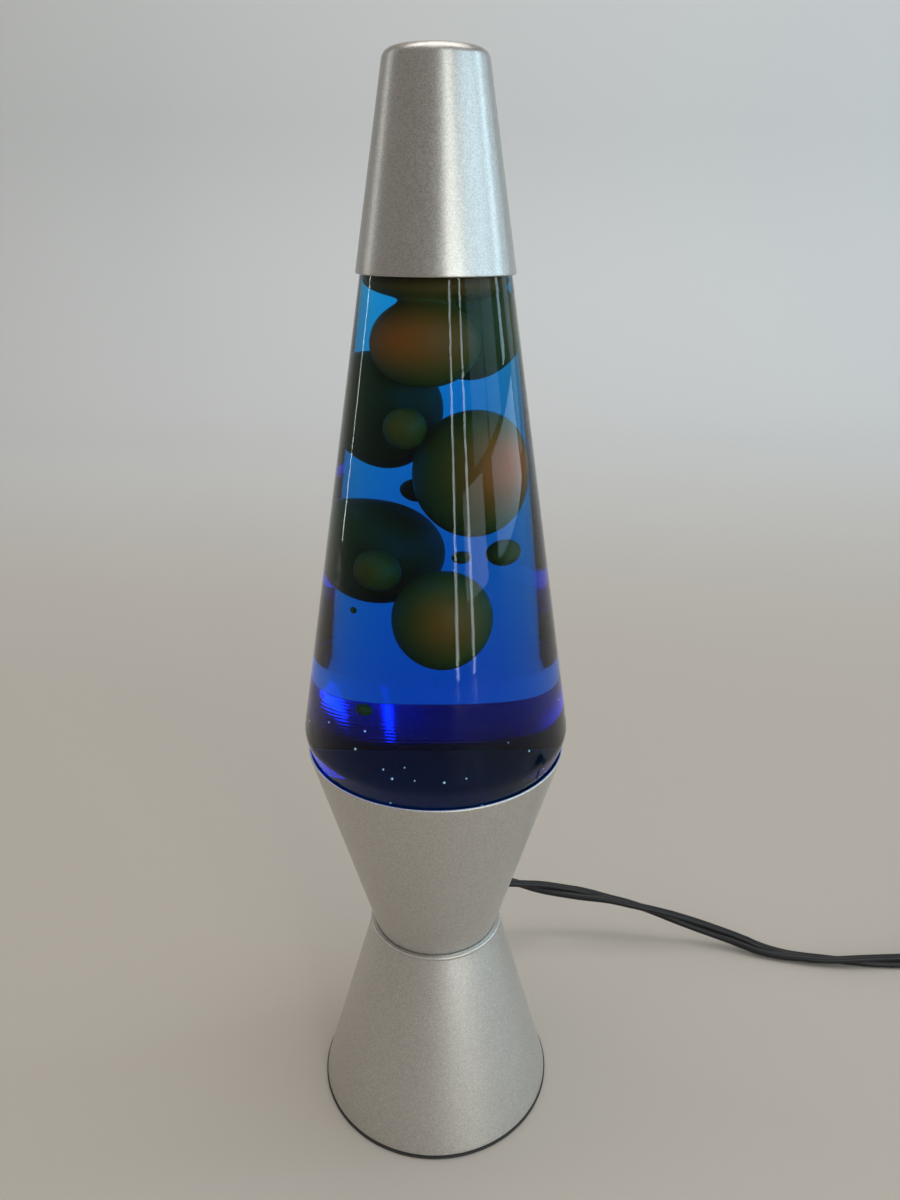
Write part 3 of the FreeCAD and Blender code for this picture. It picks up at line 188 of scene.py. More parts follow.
bright, sky = (0.93, 1.0, 0.99), (0.58, 0.83, 1.0)
near, window_away, highest_aim = 1.15, 2.6, 0.26
for bearing, away, width, low, high, shine, color in (
        (20, near, 0.055, 0.01, 0.66, 12.5, bright),
        (35, near, 0.055, 0.01, 0.66, 12.5, bright),
        (25, near, 0.36, 0.67, 1.20, 2.4, bright),
        (-112, near, 0.03, 0.01, 1.11, 9.0, bright),
        (55, window_away, 1.0, 0.35, 1.9, 1.8, sky),
        (77, window_away, 1.0, 0.35, 1.9, 1.9, sky),
        (101, window_away, 0.30, 0.42, 1.9, 6.5, sky),
        (122, window_away, 0.68, 0.02, 1.9, 1.0, sky),
        (42, window_away, 1.1, 0.0, 0.34, 3.4, bright),
        (90, window_away, 2.2, 0.0, 0.34, 4.0, sky)):
    turn = math.radians(bearing)
    middle = (low + high) / 2
    lamp("window_pane", (away * math.sin(turn), -away * math.cos(turn), middle), (0, 0, min(middle, highest_aim)),
         (width, high - low), shine * math.pi * width * (high - low), color)
lamp("ceiling", (0.1, 0.2, 2.3), (0, 0.3, 0), (2.4, 2.0), 24, (1.0, 0.98, 0.96))
lamp("wall_wash", (0.0, 0.1, 1.9), (0, 1.7, 0.6), (2.4, 0.5), 7.5, (1.0, 0.99, 0.97))


# Spun metal: cap, cup and foot.
# Each is one sheet of aluminium spun over a former, with a rolled or folded edge, then sprayed with a
# silver metallic lacquer whose fine flakes sparkle under light.
MM = 0.001


def rounded(points):
    """A profile of (r, z) or (r, z, rounding) corners in mm, with round corners of short steps, in metres."""
    least_steps, step_degrees = 3, 6
    line = []
    for i, point in enumerate(points):
        here = Vector(point[:2])
        if len(point) < 3 or i in (0, len(points) - 1):
            line.append(here * MM)
            continue
        back = (Vector(points[i - 1][:2]) - here).normalized()
        ahead = (Vector(points[i + 1][:2]) - here).normalized()
        half = back.angle(ahead) / 2
        reach = point[2] / math.tan(half)
        centre = here + (back + ahead).normalized() * point[2] / math.sin(half)
        start, end = here + back * reach - centre, here + ahead * reach - centre
        turn = start.angle_signed(end)
        steps = max(least_steps, round(math.degrees(abs(turn)) / step_degrees))
        for k in range(steps + 1):
            line.append((centre + Matrix.Rotation(-turn * k / steps, 2) @ start) * MM)
    return line


def skin(name, bm, edge_degrees):
    """The mesh of a bmesh, smooth except over sharper edges."""
    bmesh.ops.recalc_face_normals(bm, faces=bm.faces)
    mesh = bpy.data.meshes.new(name)
    bm.to_mesh(mesh)
    bm.free()
    mesh.shade_smooth()
    mesh.set_sharp_from_angle(angle=math.radians(edge_degrees))
    return mesh


def turn_mesh(name, line, sides=160, along=0):
    """A mesh turned about Z from a profile, which closes on itself unless both ends are on the axis.
    Where along is given, in metres, longer runs are cut into steps."""
    on_axis, edge_degrees = 1e-7, 50
    closed = max(line[0].x, line[-1].x) > on_axis
    spots = []
    pairs = list(zip(line, line[1:] + line[:1])) if closed else list(zip(line, line[1:]))
    for one, two in pairs:
        cuts = max(1, int((two - one).length / along)) if along else 1
        spots += [one.lerp(two, k / cuts) for k in range(cuts)]
    if not closed:
        spots.append(line[-1])
    bm = bmesh.new()
    rings = []
    for r, z in spots:
        if r < on_axis:
            rings.append([bm.verts.new((0, 0, z))])
        else:
            rings.append([bm.verts.new((r * math.cos(2 * math.pi * i / sides),
                                        r * math.sin(2 * math.pi * i / sides), z)) for i in range(sides)])
    loops = list(zip(rings, rings[1:] + rings[:1])) if closed else list(zip(rings, rings[1:]))
    for low, high in loops:
        for i in range(sides):
            j = (i + 1) % sides
            corners = [low[i % len(low)], low[j % len(low)], high[j % len(high)], high[i % len(high)]]
            unique = list(dict.fromkeys(corners))
            if len(unique) > 2:
                bm.faces.new(unique)
    return skin(name, bm, edge_degrees)


def piece(name, mesh, material, body, *nodes, slot=None):
    """A piece that rides on a body, stands for CAD nodes and takes the given material. Its slot is not used."""
    obj = bpy.data.objects.new(name, mesh)
    bpy.context.scene.collection.objects.link(obj)
    mesh.materials.clear()
    mesh.materials.append(material)
    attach(obj, body)
    if nodes:
        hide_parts(*nodes)
    return obj


def silver(name, color, rough):
    """Silver lacquer: fine flakes of slightly different brightness, a faint cloud from the spray, orange peel."""
    paint = Paint(name)
    spot = paint.add("TexCoord", {}, out="Object")
    flake = paint.add("TexVoronoi", {"feature": "F1"}, spot, Scale=3600.0, out="Color")
    grain = paint.add("SeparateColor", {}, flake, out="Red")
    cloud = paint.add("TexNoise", {}, spot, Scale=60.0, Detail=4.0)
    darkest, lightest = 0.72, 1.28
    flake_tone, cloud_tone, flake_gloss, cloud_gloss = 0.62, 0.10, 0.06, 0.04
    share = (grain - 0.5) * flake_tone + (cloud - 0.5) * cloud_tone + 0.5
    tone = paint.mix(share, tuple(c * darkest for c in color), tuple(c * lightest for c in color))
    roughness = (grain - 0.5) * flake_gloss + (cloud - 0.5) * cloud_gloss + rough
    peel = paint.add("TexNoise", {}, spot, Scale=420.0, Detail=2.0)
    bump = paint.add("Bump", {}, Height=peel, Strength=0.010, Distance=0.0004)
    return paint.done(paint.add("BsdfPrincipled", {}, Base_Color=tone, Metallic=0.92, Roughness=roughness,
                                Normal=bump, Coat_Weight=0.08, Coat_Roughness=0.20))


# The cap rests on the bottle's taper by its own weight, and lifts off.
spin_step = 0.004
silver_lacquer = silver("silver_lacquer", (0.47, 0.455, 0.43), 0.33)
cap_outside = rounded([(22.66, 311.4), (22.75, 311.0, 0.2), (23.68, 311.0, 0.45), (14.5, 368.3, 3.2), (0, 368.3)])
cap_inside = rounded([(0, 367.3), (13.65, 367.3, 2.2), (22.66, 311.4)])
piece("cap_shell", turn_mesh("cap_shell", cap_outside + cap_inside[:-1], along=spin_step), silver_lacquer,
      "cap", "cap", slot="cap_metal")

# The cup holds the bottle by its cone. Its floor is clamped to the foot's by the waist screws.
# The cup and foot take a lighter copy of the cap's lacquer: painted light, for the stronger light that falls on them.
foot_lacquer_painted_light = silver("foot_lacquer_painted_light", (0.56, 0.54, 0.51), 0.42)
cup_line = rounded([(15.8, 74.0), (22.12, 74.0, 0.9), (45.1, 154.9, 0.45), (44.2, 154.9, 0.4), (21.45, 74.9, 0.5),
                    (15.8, 74.9)])
cup = piece("cup_shell", turn_mesh("cup_shell", cup_line, along=spin_step), foot_lacquer_painted_light, "base", "upper_cone",
            slot="base_metal")

# The cup's inside is left bare, with the rings of the spinning tool. Its metal is painted far darker than bare
# aluminium, as painted shade for the dim inside of the cup.
bare = Paint("bare_aluminium_painted_shade")
bare_spot = bare.add("TexCoord", {}, out="Object")
tool_rings = bare.add("TexWave", {"bands_direction": "Z"}, bare_spot, Scale=260.0, Distortion=1.5)
dulled = bare.add("TexNoise", {}, bare_spot, Scale=45.0, Detail=4.0)
# Painted shade: both tones are darkened for the shaded inside of the cup.
painted_shade_tone = bare.mix(dulled, (0.22, 0.22, 0.22), (0.36, 0.36, 0.35))
shaded_bare_metal = bare.done(bare.add("BsdfPrincipled", {}, Base_Color=painted_shade_tone, Metallic=1.0,
                                Roughness=dulled * 0.12 + 0.10,
                                Normal=bare.add("Bump", {}, Height=tool_rings, Strength=0.10, Distance=0.0002)))
cup.data.materials.append(shaded_bare_metal)
faces_in = -1e-4
for face in cup.data.polygons:
    if face.normal.x * face.center.x + face.normal.y * face.center.y < faces_in * face.center.length:
        face.material_index = 1

# The foot widens to the table, and its top is rolled into a bead round the cup's lower end.
foot_line = rounded([(42.3, 1.3), (44.9, 1.3, 0.4), (24.45, 76.0, 0.3), (25.0, 76.1, 0.5), (25.0, 77.3, 0.55),
                     (23.20, 77.3, 0.15), (22.3, 74.0),
                     (15.8, 74.0), (15.8, 73.1), (23.2, 73.1), (43.6, 2.2), (42.3, 2.2)])
piece("foot_shell", turn_mesh("foot_shell", foot_line, along=spin_step), foot_lacquer_painted_light, "base", "lower_cone",
      slot="base_metal")


# Globe: one blown glass bottle that stands loose in the cup, with a neck, a ring and a mouth under the cap.
# Glass and liquid bend light nearly alike, so this body is one with the liquid up to its level.
# Shadow and diffuse rays pass straight through it, so that lamps and daylight reach the wax.
glass = Paint("globe_glass")
shadow_ray = glass.add("LightPath", {}, out="Is Shadow Ray")
diffuse_ray = glass.add("LightPath", {}, out="Is Diffuse Ray")
clear = glass.add("BsdfTransparent", {}, (0.96, 0.985, 0.985, 1))
glass_spot = glass.add("TexCoord", {}, out="Object")
ripple = glass.add("TexNoise", {}, glass_spot, Scale=35.0, Detail=2.0)
wave = glass.add("Bump", {}, Height=ripple, Strength=0.004, Distance=0.002)
bent = glass.add("BsdfPrincipled", {}, Base_Color=(1, 1, 1, 1), Roughness=0.0, IOR=1.42,
                 Transmission_Weight=1.0, Specular_Tint=(0.44, 0.45, 0.46, 1), Normal=wave)
straight = glass.add("Math", {"operation": "MAXIMUM"}, shadow_ray, diffuse_ray)
glass_material = glass.done(glass.add("MixShader", {}, straight, bent, clear))
glass_sides, glass_step = 192, 0.006
globe_line = rounded([
    (0, 130.0), (36.78, 130.0, 6.0), (45.95, 162.3, 8.0), (21.25, 318.0, 6.0), (12.8, 330.0, 2.6),
    (12.8, 334.0, 0.3), (14.0, 334.0, 0.5), (14.0, 336.6, 0.5), (13.3, 336.6, 0.3), (13.3, 343.0, 0.8),
    (9.6, 343.0, 0.8), (9.6, 330.0, 2.6), (18.85, 316.7, 2.0), (19.25, 314.0), (0, 314.0)])
piece("globe_bottle", turn_mesh("globe_bottle", globe_line, sides=glass_sides, along=glass_step), glass_material,
      "globe", "globe", slot="globe_glass")


# Liquid: dyed clear blue, and filled into the bottle to just above the cap's edge.
# It swallows red light within a few millimetres and green within a few centimetres.
liquid_paint = Paint("blue_liquid")
absorption = liquid_paint.add("VolumeAbsorption", {}, (0.0, 0.825, 1.0, 1), 150.0)
liquid_material = liquid_paint.done(liquid_paint.add("BsdfTransparent", {}, (1, 1, 1, 1)), absorption)
liquid_line = rounded([(0, 134.2), (35.07, 134.2, 4.0), (43.09, 162.46, 6.0), (19.05, 313.95), (0, 313.95)])
piece("liquid_body", turn_mesh("liquid_body", liquid_line, sides=glass_sides, along=glass_step), liquid_material,
      "globe", "liquid", slot="liquid")


# Wax: a warm orange melt, smooth and opaque, that rises through the liquid in rounded masses.
# The liquid in front of it swallows part of its colour, so the wax is more orange than it looks.
wax_paint = Paint("orange_wax")
wax_spot = wax_paint.add("TexCoord", {}, out="Object")
wax_cloud = wax_paint.add("TexNoise", {}, wax_spot, Scale=90.0, Detail=3.0)
wax_tone = wax_paint.mix(wax_cloud, (0.35, 0.044, 0.002), (0.47, 0.064, 0.005))
wax_material = wax_paint.done(wax_paint.add("BsdfPrincipled", {}, Base_Color=wax_tone, Roughness=0.45,
                                            Specular_IOR_Level=0.1))


def wax_mesh(name, balls, blend=0.0):
    """Rounded masses from (centre, half sizes) in metres. A blend in metres grows their meeting lines into necks."""
    large, sway_size, sway_scale, seed_scale, voxels_in_blend = 0.004, 0.022, 1.1, 90, 3
    bm = bmesh.new()
    for centre, half in balls:
        made = bmesh.ops.create_icosphere(bm, subdivisions=5 if half[0] > large else 3, radius=1.0)
        for v in made["verts"]:
            sway = 1 + sway_size * (noise.noise(v.co * sway_scale + Vector(centre) * seed_scale) - 0.5)
            v.co = Vector(centre[i] + v.co[i] * half[i] * min(1.0, sway) for i in range(3))
    mesh = bpy.data.meshes.new(name)
    bm.to_mesh(mesh)
    bm.free()
    if blend:
        holder = bpy.data.objects.new(name, mesh)
        bpy.context.scene.collection.objects.link(holder)
        remesh = holder.modifiers.new("one_skin", "REMESH")
        remesh.mode = "VOXEL"
        remesh.voxel_size = blend / voxels_in_blend
        smooth = holder.modifiers.new("soft_necks", "SMOOTH")
        smooth.factor = 0.5
        smooth.iterations = 24
        depsgraph = bpy.context.evaluated_depsgraph_get()
        mesh = bpy.data.meshes.new_from_object(holder.evaluated_get(depsgraph))
        mesh.name = name
        bpy.data.objects.remove(holder)
    mesh.shade_smooth()
    return mesh


# Each single mass fills the room of its solid, and the two small balls are set a little farther back.
deeper = {"wax_middle_ball": 2.4, "wax_lower_ball": 2.6}
for node in ("wax_middle_left", "wax_middle_ball", "wax_middle_right", "wax_middle_bud", "wax_lower_left",
             "wax_lower_ball", "wax_lower_front"):
    low, high = (corner + Vector((0, deeper.get(node, 0.0) * MM, 0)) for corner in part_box(node))
    name = node.replace("wax_", "melt_")
    piece(name, wax_mesh(name, [((low + high) / 2, (high - low) / 2)]), wax_material, "globe", node, slot="wax")

# The top mass is three rounds that have run together under the liquid's surface.
top_balls = [(Vector((0, 1.0, 307.8)) * MM, Vector((15.4, 15.2, 5.2)) * MM),
             (Vector((-2.9, -7.4, 291.6)) * MM, Vector((13.6, 11.0, 12.8)) * MM),
             (Vector((6.6, 6.3, 293.5)) * MM, Vector((10.8, 9.5, 14.6)) * MM)]
piece("melt_top", wax_mesh("melt_top", top_balls, blend=0.0024), wax_material, "globe", "wax_top_mass", slot="wax")

# The rest of the wax lies molten on the bottle's floor, with the heat coil sunk in it.
pool_line = rounded([(0, 134.25), (32.2, 134.25, 0.8), (33.4, 138.2, 3.0), (30.4, 142.7, 3.0), (0, 143.9)])
piece("melt_pool", turn_mesh("melt_pool", pool_line, along=0.004), wax_material, "globe", "wax_pool", slot="wax")

# Small drops left behind by the masses. Their height is a share of the liquid's, and their place and
# half sizes are shares of its radius there.
liquid_floor, liquid_height = 134.2, 179.6
shoulder_radius, shoulder_level, taper, glass_wall = 21.25, 318.0, 0.15864, 2.832
drops = [(0.518, 0.192, -0.244, 0.076, 0.076, 0.011), (0.526, 0.531, -0.276, 0.151, 0.141, 0.023),
         (0.418, -0.595, -0.281, 0.028, 0.028, 0.006), (0.249, -0.482, -0.495, 0.064, 0.059, 0.011)]
drop_balls = []
for height, x, y, *half in drops:
    level = liquid_floor + height * liquid_height
    bore = shoulder_radius + taper * (shoulder_level - level) - glass_wall
    spot = (x * bore * MM, y * bore * MM, level * MM)
    drop_balls.append((spot, (half[0] * bore * MM, half[1] * bore * MM, half[2] * liquid_height * MM)))
piece("melt_drops", wax_mesh("melt_drops", drop_balls), wax_material, "globe", "wax_droplets", slot="wax")


# Bubbles: fine pale specks of air that cling to the front of the glass, most of them low.
# Each sits just inside the bottle's wall, on its seat cone or on the cone above the belly.
chance = random.Random(7)
lowest, spread, crowding = 150, 34, 1.6
seat_radius, seat_level, seat_taper, seat_wall = 23, 77.1, 0.28406, 4.15
belly_radius, belly_level, belly_wall = 45.92, 162.5, 2.83
off_glass, smallest, largest = 0.9, 0.16, 0.42
front_degrees, side_degrees, bubble_count = -90, 85, 26
bubbles = []
for _ in range(bubble_count):
    level = lowest + spread * chance.random() ** crowding
    seat_bore = seat_radius + seat_taper * (level - seat_level) - seat_wall
    upper_bore = belly_radius - taper * (level - belly_level) - belly_wall
    bore = min(seat_bore, upper_bore) - off_glass
    angle = math.radians(front_degrees + chance.uniform(-side_degrees, side_degrees))
    size = chance.uniform(smallest, largest) * MM
    bubbles.append(((bore * math.cos(angle) * MM, bore * math.sin(angle) * MM, level * MM), (size, size, size)))
bubble_paint = Paint("pale_bubble")
bubble_spot = bubble_paint.add("TexCoord", {}, out="Object")
bubble_cloud = bubble_paint.add("TexNoise", {}, bubble_spot, Scale=500.0, Detail=2.0)
bubble_material = bubble_paint.done(bubble_paint.add(
    "BsdfPrincipled", {}, Base_Color=bubble_paint.mix(bubble_cloud, (0.55, 0.66, 0.72), (0.72, 0.82, 0.88)),
    Roughness=bubble_cloud * 0.1 + 0.25))
piece("cling_bubbles", wax_mesh("cling_bubbles", bubbles), bubble_material, "globe", slot="liquid")


# Cords: flat black twin flex, two round cores side by side in one soft vinyl jacket.
# It twists on its way from the lamp to the switch, and lies in a coil of two layers before the plug.
def route(points):
    """Points along the smooth NURBS line that a route's corners, given in mm, control."""
    curve = bpy.data.curves.new("route", "CURVE")
    curve.dimensions = "3D"
    spline = curve.splines.new("NURBS")
    spline.points.add(len(points) - 1)
    for point, spot in zip(spline.points, points):
        point.co = (*(Vector(spot) * MM), 1)
    spline.order_u = 3
    spline.use_endpoint_u = True
    spline.resolution_u = 10
    holder = bpy.data.objects.new("route", curve)
    mesh = bpy.data.meshes.new_from_object(holder)
    line = [v.co.copy() for v in mesh.vertices]
    bpy.data.objects.remove(holder)
    bpy.data.meshes.remove(mesh)
    return line


def flex(name, points, view, turn_at):
    """A twin flex along a route. view is the side that angles are counted from, turn_at gives them by length.
    Where the route comes down to the table, the flat side sinks onto it."""
    core, apart, cuts, seam_degrees = 1.7 * MM, 1.5 * MM, 9, 45
    clearance, free_height, sinks_over, smoothing = 0.05 * MM, 5.3 * MM, 2.1 * MM, 3
    line = route(points)
    lengths = [0.0]
    for one, two in zip(line, line[1:]):
        lengths.append(lengths[-1] + (two - one).length)
    open_angle = math.acos(-apart / core)
    section = []
    for side in (1, -1):
        for k in range(cuts + 1):
            a = -open_angle + 2 * open_angle * k / cuts
            section.append((side * (apart + core * math.cos(a)), side * core * math.sin(a)))
        section.pop()
    sections, drops = [], []
    for i, spot in enumerate(line):
        along = (line[min(i + 1, len(line) - 1)] - line[max(i - 1, 0)]).normalized()
        deep = (view - view.dot(along) * along).normalized()
        across = along.cross(deep)
        turn = turn_at(lengths[i] / MM)
        wide = across * math.cos(turn) + deep * math.sin(turn)
        sections.append((spot, wide, along.cross(wide)))
        lowest_point = spot.z - apart * abs(wide.z) - core
        drops.append(max(0.0, lowest_point - clearance) * min(1.0, max(0.0, (free_height - spot.z) / sinks_over)))
    bm = bmesh.new()
    rings, spine = [], []
    for i, (spot, wide, flat) in enumerate(sections):
        around = drops[max(0, i - smoothing):i + smoothing + 1]
        sunk = sum(around) / len(around)
        if drops[i]:
            sunk = min(sunk, drops[i])
        spot = spot - Vector((0, 0, sunk))
        spine.append(spot)
        rings.append([bm.verts.new(spot + wide * x + flat * y) for x, y in section])
    for ring, other in zip(rings, rings[1:]):
        for k in range(len(ring)):
            m = (k + 1) % len(ring)
            bm.faces.new((ring[k], ring[m], other[m], other[k]))
    bm.faces.new(rings[0][::-1])
    bm.faces.new(rings[-1])
    return skin(name, bm, seam_degrees), spine


def smooth_steps(stops):
    """An angle in radians by length in mm, easing between stops given in degrees."""
    def at(length):
        for (a, low), (b, high) in zip(stops, stops[1:]):
            if length <= b:
                share = (length - a) / (b - a)
                return math.radians(low + (high - low) * share * share * (3 - 2 * share))
        return math.radians(stops[-1][1])
    return at


jacket = Paint("cord_jacket")
jacket_spot = jacket.add("TexCoord", {}, out="Object")
scuff = jacket.add("TexNoise", {}, jacket_spot, Scale=70.0, Detail=6.0, Roughness=0.65)
pore = jacket.add("TexNoise", {}, jacket_spot, Scale=900.0, Detail=2.0)
jacket_tone = jacket.mix(scuff, (0.004, 0.004, 0.005), (0.011, 0.011, 0.013))
jacket_bump = jacket.add("Bump", {}, Height=pore * 0.4 + scuff, Strength=0.12, Distance=0.0003)
jacket_material = jacket.done(jacket.add(
    "BsdfPrincipled", {}, Base_Color=jacket_tone, Roughness=(scuff - 0.5) * 0.25 + 0.40, Normal=jacket_bump,
    Specular_IOR_Level=0.32))

# From the bushing it rises behind the lamp, comes down to the table at the right, and enters the switch.
cord_radius, switch_y, switch_z = 3.2, 56.0, 8.0
run_points = [(11.9, 44.3, 28.1), (12.87, 48.02, 29.17), (17.24, 64.32, 33.79), (31.05, 73.94, 32.6),
              (46.0, 75.93, 27.61), (90.1, 72.94, 21.88), (133.95, 67.96, 7.93), (158.11, 59.99, cord_radius),
              (190.0, 54.26, cord_radius), (221.89, 54.0, cord_radius), (244, switch_y, switch_z),
              (262, switch_y, switch_z), (266, switch_y, switch_z)]
run_twist = smooth_steps([(0, 21.7), (39, 90), (63, 180), (94, 270), (141, 360), (187, 450), (231, 540),
                          (268, 607.8), (280, 607.8)])
from_camera, from_above = Vector((0, 0.93, -0.38)), Vector((0, 0, -1))
run_mesh, run_line = flex("flex_run", run_points, from_camera, run_twist)
run_piece = piece("flex_run", run_mesh, jacket_material, "base", "cord_run", slot="cord_jacket")

# The rest goes from the switch to the coil, round it inwards on the table and outwards on top, to the plug.
# It lies almost flat, and tips a little from side to side as it goes.
coil_x, coil_y, outmost, half_pitch, inmost, half_turns_low = 400.0, 7.5, 46.4, 3.5, 23.0, 7
upper_height, plug_y, plug_z = 5.3, -38.9, 7.0
tip_degrees, tip_length = 10, 70
tail_points = [(316, switch_y, switch_z), (320, switch_y, switch_z), (338, switch_y, switch_z),
               (358.4, 54.74, cord_radius), (380, 53.9, cord_radius)]

# The coil crosses its middle line at these distances, half a turn apart: in on the table, then out on top.
low_crossings = [outmost - half_pitch * i for i in range(half_turns_low)]
crossings = low_crossings + [inmost] + low_crossings[:-1][::-1]
climb, per_half = half_turns_low - 1, 9
for i, (here, there) in enumerate(zip(crossings, crossings[1:])):
    side = 1 if i % 2 == 0 else -1
    middle = coil_y + side * (here - there) / 2
    half = (here + there) / 2 / math.cos(math.pi / per_half / 2)
    for k in range(per_half):
        angle = math.pi * k / per_half
        climbed = min(1.0, max(0.0, i - climb + k / per_half))
        tail_points.append((coil_x + side * half * math.sin(angle), middle + side * half * math.cos(angle),
                            cord_radius + (upper_height - cord_radius) * climbed))
tail_points += [(x, plug_y, z) for x, z in ((coil_x, upper_height), (390, 5.4), (374, 6.2), (362, plug_z),
                                            (354, plug_z), (350, plug_z))]
tail_mesh, tail_line = flex("flex_coil", tail_points, from_above,
                            lambda length: math.radians(tip_degrees * math.sin(length / tip_length)))
tail_piece = piece("flex_coil", tail_mesh, jacket_material, "base", "cord_tail", "cord_coil", slot="cord_jacket")


# Bushing: a relief moulded in black vinyl, pushed into a hole in the foot's wall, where its catch snaps in.
# Its collar stays outside, and the ribbed end beyond it bends with the cord.
vinyl = Paint("soft_vinyl")
vinyl_spot = vinyl.add("TexCoord", {}, out="Object")
bloom = vinyl.add("TexNoise", {}, vinyl_spot, Scale=110.0, Detail=5.0)
matt = vinyl.add("TexNoise", {}, vinyl_spot, Scale=1400.0, Detail=2.0)
vinyl_tone = vinyl.mix(bloom, (0.011, 0.011, 0.012), (0.024, 0.024, 0.026))
vinyl_material = vinyl.done(vinyl.add(
    "BsdfPrincipled", {}, Base_Color=vinyl_tone, Roughness=(bloom - 0.5) * 0.2 + 0.46,
    Normal=vinyl.add("Bump", {}, Height=matt, Strength=0.10, Distance=0.0002)))


def ribbed(low, high, start, end, ribs, deep):
    """A taper from radius low to high in (r, along, rounding) corners: each rib, then its narrow groove."""
    pitch, rounding = (end - start) / ribs, 0.12
    corners = []
    for i in range(ribs):
        for share, cut in ((0.06, 0.0), (0.66, 0.0), (0.74, deep), (0.94, deep)):
            at = (i + share) / ribs
            corners.append((low + (high - low) * at - cut, start + (end - start) * at, rounding * pitch))
    return corners


small_sides = 64
exit_spot, exit_axis = Vector((9.871, 36.839, 26.0)) * MM, Vector((0.24964, 0.93166, 0.26403))
bushing_line = rounded([(0, -8.0), (4.4, -8.0, 0.4), (6.2, -3.5, 0.3), (6.2, -2.7), (5.3, -2.7), (5.3, 0.1),
                        (7.5, 0.1, 0.4), (7.5, 1.7, 0.4), (6.3, 1.75)] + ribbed(6.2, 4.5, 1.8, 11.4, 4, 0.8)
                       + [(4.35, 11.5), (4.3, 12.0, 0.3), (0, 12.0)])
bushing_mesh = turn_mesh("relief_bushing", bushing_line, sides=small_sides)
bushing_mesh.transform(Matrix.Translation(exit_spot) @ exit_axis.to_track_quat("Z", "Y").to_matrix().to_4x4())
bushing = piece("relief_bushing", bushing_mesh, vinyl_material, "base", "cord_bushing", slot="black_moulding")


# Inline switch: two shells moulded in black plastic, with soft edges and a fine leather grain.
# One screw from below holds them together round the cord, and a slot through both takes the wheel.
def rounded_loop(points):
    """A closed outline in metres from (x, y, rounding) corners in mm."""
    ring = points + points[:2]
    return [p for i in range(1, len(points) + 1) for p in rounded(ring[i - 1:i + 2])[1:-1]]


moulded_degrees = 40


def stacked(name, outline, levels):
    """A closed body from one outline, moved inwards at each level of (height, inset) in mm."""
    count = len(outline)
    normals = []
    for i in range(count):
        along = (outline[(i + 1) % count] - outline[i - 1]).normalized()
        normals.append(Vector((-along.y, along.x)))
    bm = bmesh.new()
    rings = [[bm.verts.new((*(p + n * inset * MM), z * MM)) for p, n in zip(outline, normals)] for z, inset in levels]
    for low, high in zip(rings, rings[1:]):
        for i in range(count):
            j = (i + 1) % count
            bm.faces.new((low[i], low[j], high[j], high[i]))
    bm.faces.new(rings[0][::-1])
    bm.faces.new(rings[-1])
    return skin(name, bm, moulded_degrees)


def dome_levels(low, high, round_size):
    """Levels from a broken edge at low to a quarter round and a flat ring inside it at high."""
    broken_edge, flat_ring, round_reach, steps = 0.22, 0.4, 0.985, 6
    way = 1 if high > low else -1
    turns = [math.radians(90 * k / steps) for k in range(steps + 1)]
    return [(low, broken_edge), (low + way * broken_edge, 0.0)] + [
        (high - way * round_size * (1 - math.sin(a)), round_size * (1 - math.cos(a)) * round_reach)
        for a in turns] + [(high, round_size + flat_ring)]


def drilled(mesh, cutters):
    """A mesh with the cutters' shapes taken out."""
    holder = bpy.data.objects.new(mesh.name, mesh)
    bpy.context.scene.collection.objects.link(holder)
    tools = []
    for cutter in cutters:
        tool = bpy.data.objects.new("cutter", cutter)
        bpy.context.scene.collection.objects.link(tool)
        cut = holder.modifiers.new("cut", "BOOLEAN")
        cut.object = tool
        cut.solver = "EXACT"
        tools.append(tool)
    result = bpy.data.meshes.new_from_object(holder.evaluated_get(bpy.context.evaluated_depsgraph_get()))
    result.name = mesh.name
    for obj in tools + [holder]:
        bpy.data.objects.remove(obj)
    result.shade_smooth()
    result.set_sharp_from_angle(angle=math.radians(moulded_degrees))
    return result


def drum(radius, low, high, x, y):
    """A closed cylinder in mm."""
    mesh = turn_mesh("drum", rounded([(0, low), (radius, low), (radius, high), (0, high)]), sides=small_sides)
    mesh.transform(Matrix.Translation((x * MM, y * MM, 0)))
    return mesh


shell_plastic = Paint("shell_plastic")
shell_spot = shell_plastic.add("TexCoord", {}, out="Object")
leather = shell_plastic.add("TexVoronoi", {"feature": "SMOOTH_F1"}, shell_spot, Scale=1100.0)
wear = shell_plastic.add("TexNoise", {}, shell_spot, Scale=55.0, Detail=6.0)
shell_tone = shell_plastic.mix(wear, (0.012, 0.012, 0.013), (0.027, 0.027, 0.029))
shell_material = shell_plastic.done(shell_plastic.add(
    "BsdfPrincipled", {}, Base_Color=shell_tone, Roughness=(wear - 0.5) * 0.22 + 0.38,
    Normal=shell_plastic.add("Bump", {}, Height=leather, Strength=0.18, Distance=0.0002)))
plan = rounded_loop([(262.05, 51.4, 3.3), (268.0, 45.55, 9), (314.0, 45.55, 9), (319.95, 51.4, 3.3),
                     (319.95, 60.6, 3.3), (314.0, 66.45, 9), (268.0, 66.45, 9), (262.05, 60.6, 3.3)])

# What is cut out of the shells: radius, bottom, top and middle in mm.
wheel_x, wheel_y = 291.0, 51.1
slot_cut = (9.1, 4.5, 11.5, wheel_x, wheel_y)
screw_well = (2.5, -1.0, 2.2, 312.0, switch_y)
shell_round = 2.6
shells = {
    "switch_bottom": drilled(stacked("switch_low", plan, dome_levels(7.98, 0.05, shell_round)),
                             [drum(*slot_cut), drum(*screw_well)]),
    "switch_top": drilled(stacked("switch_high", plan, dome_levels(8.02, 15.95, shell_round)), [drum(*slot_cut)])}
switch_pieces = [piece("inline_" + node, mesh, shell_material, "base", node, slot="black_moulding")
                 for node, mesh in shells.items()]


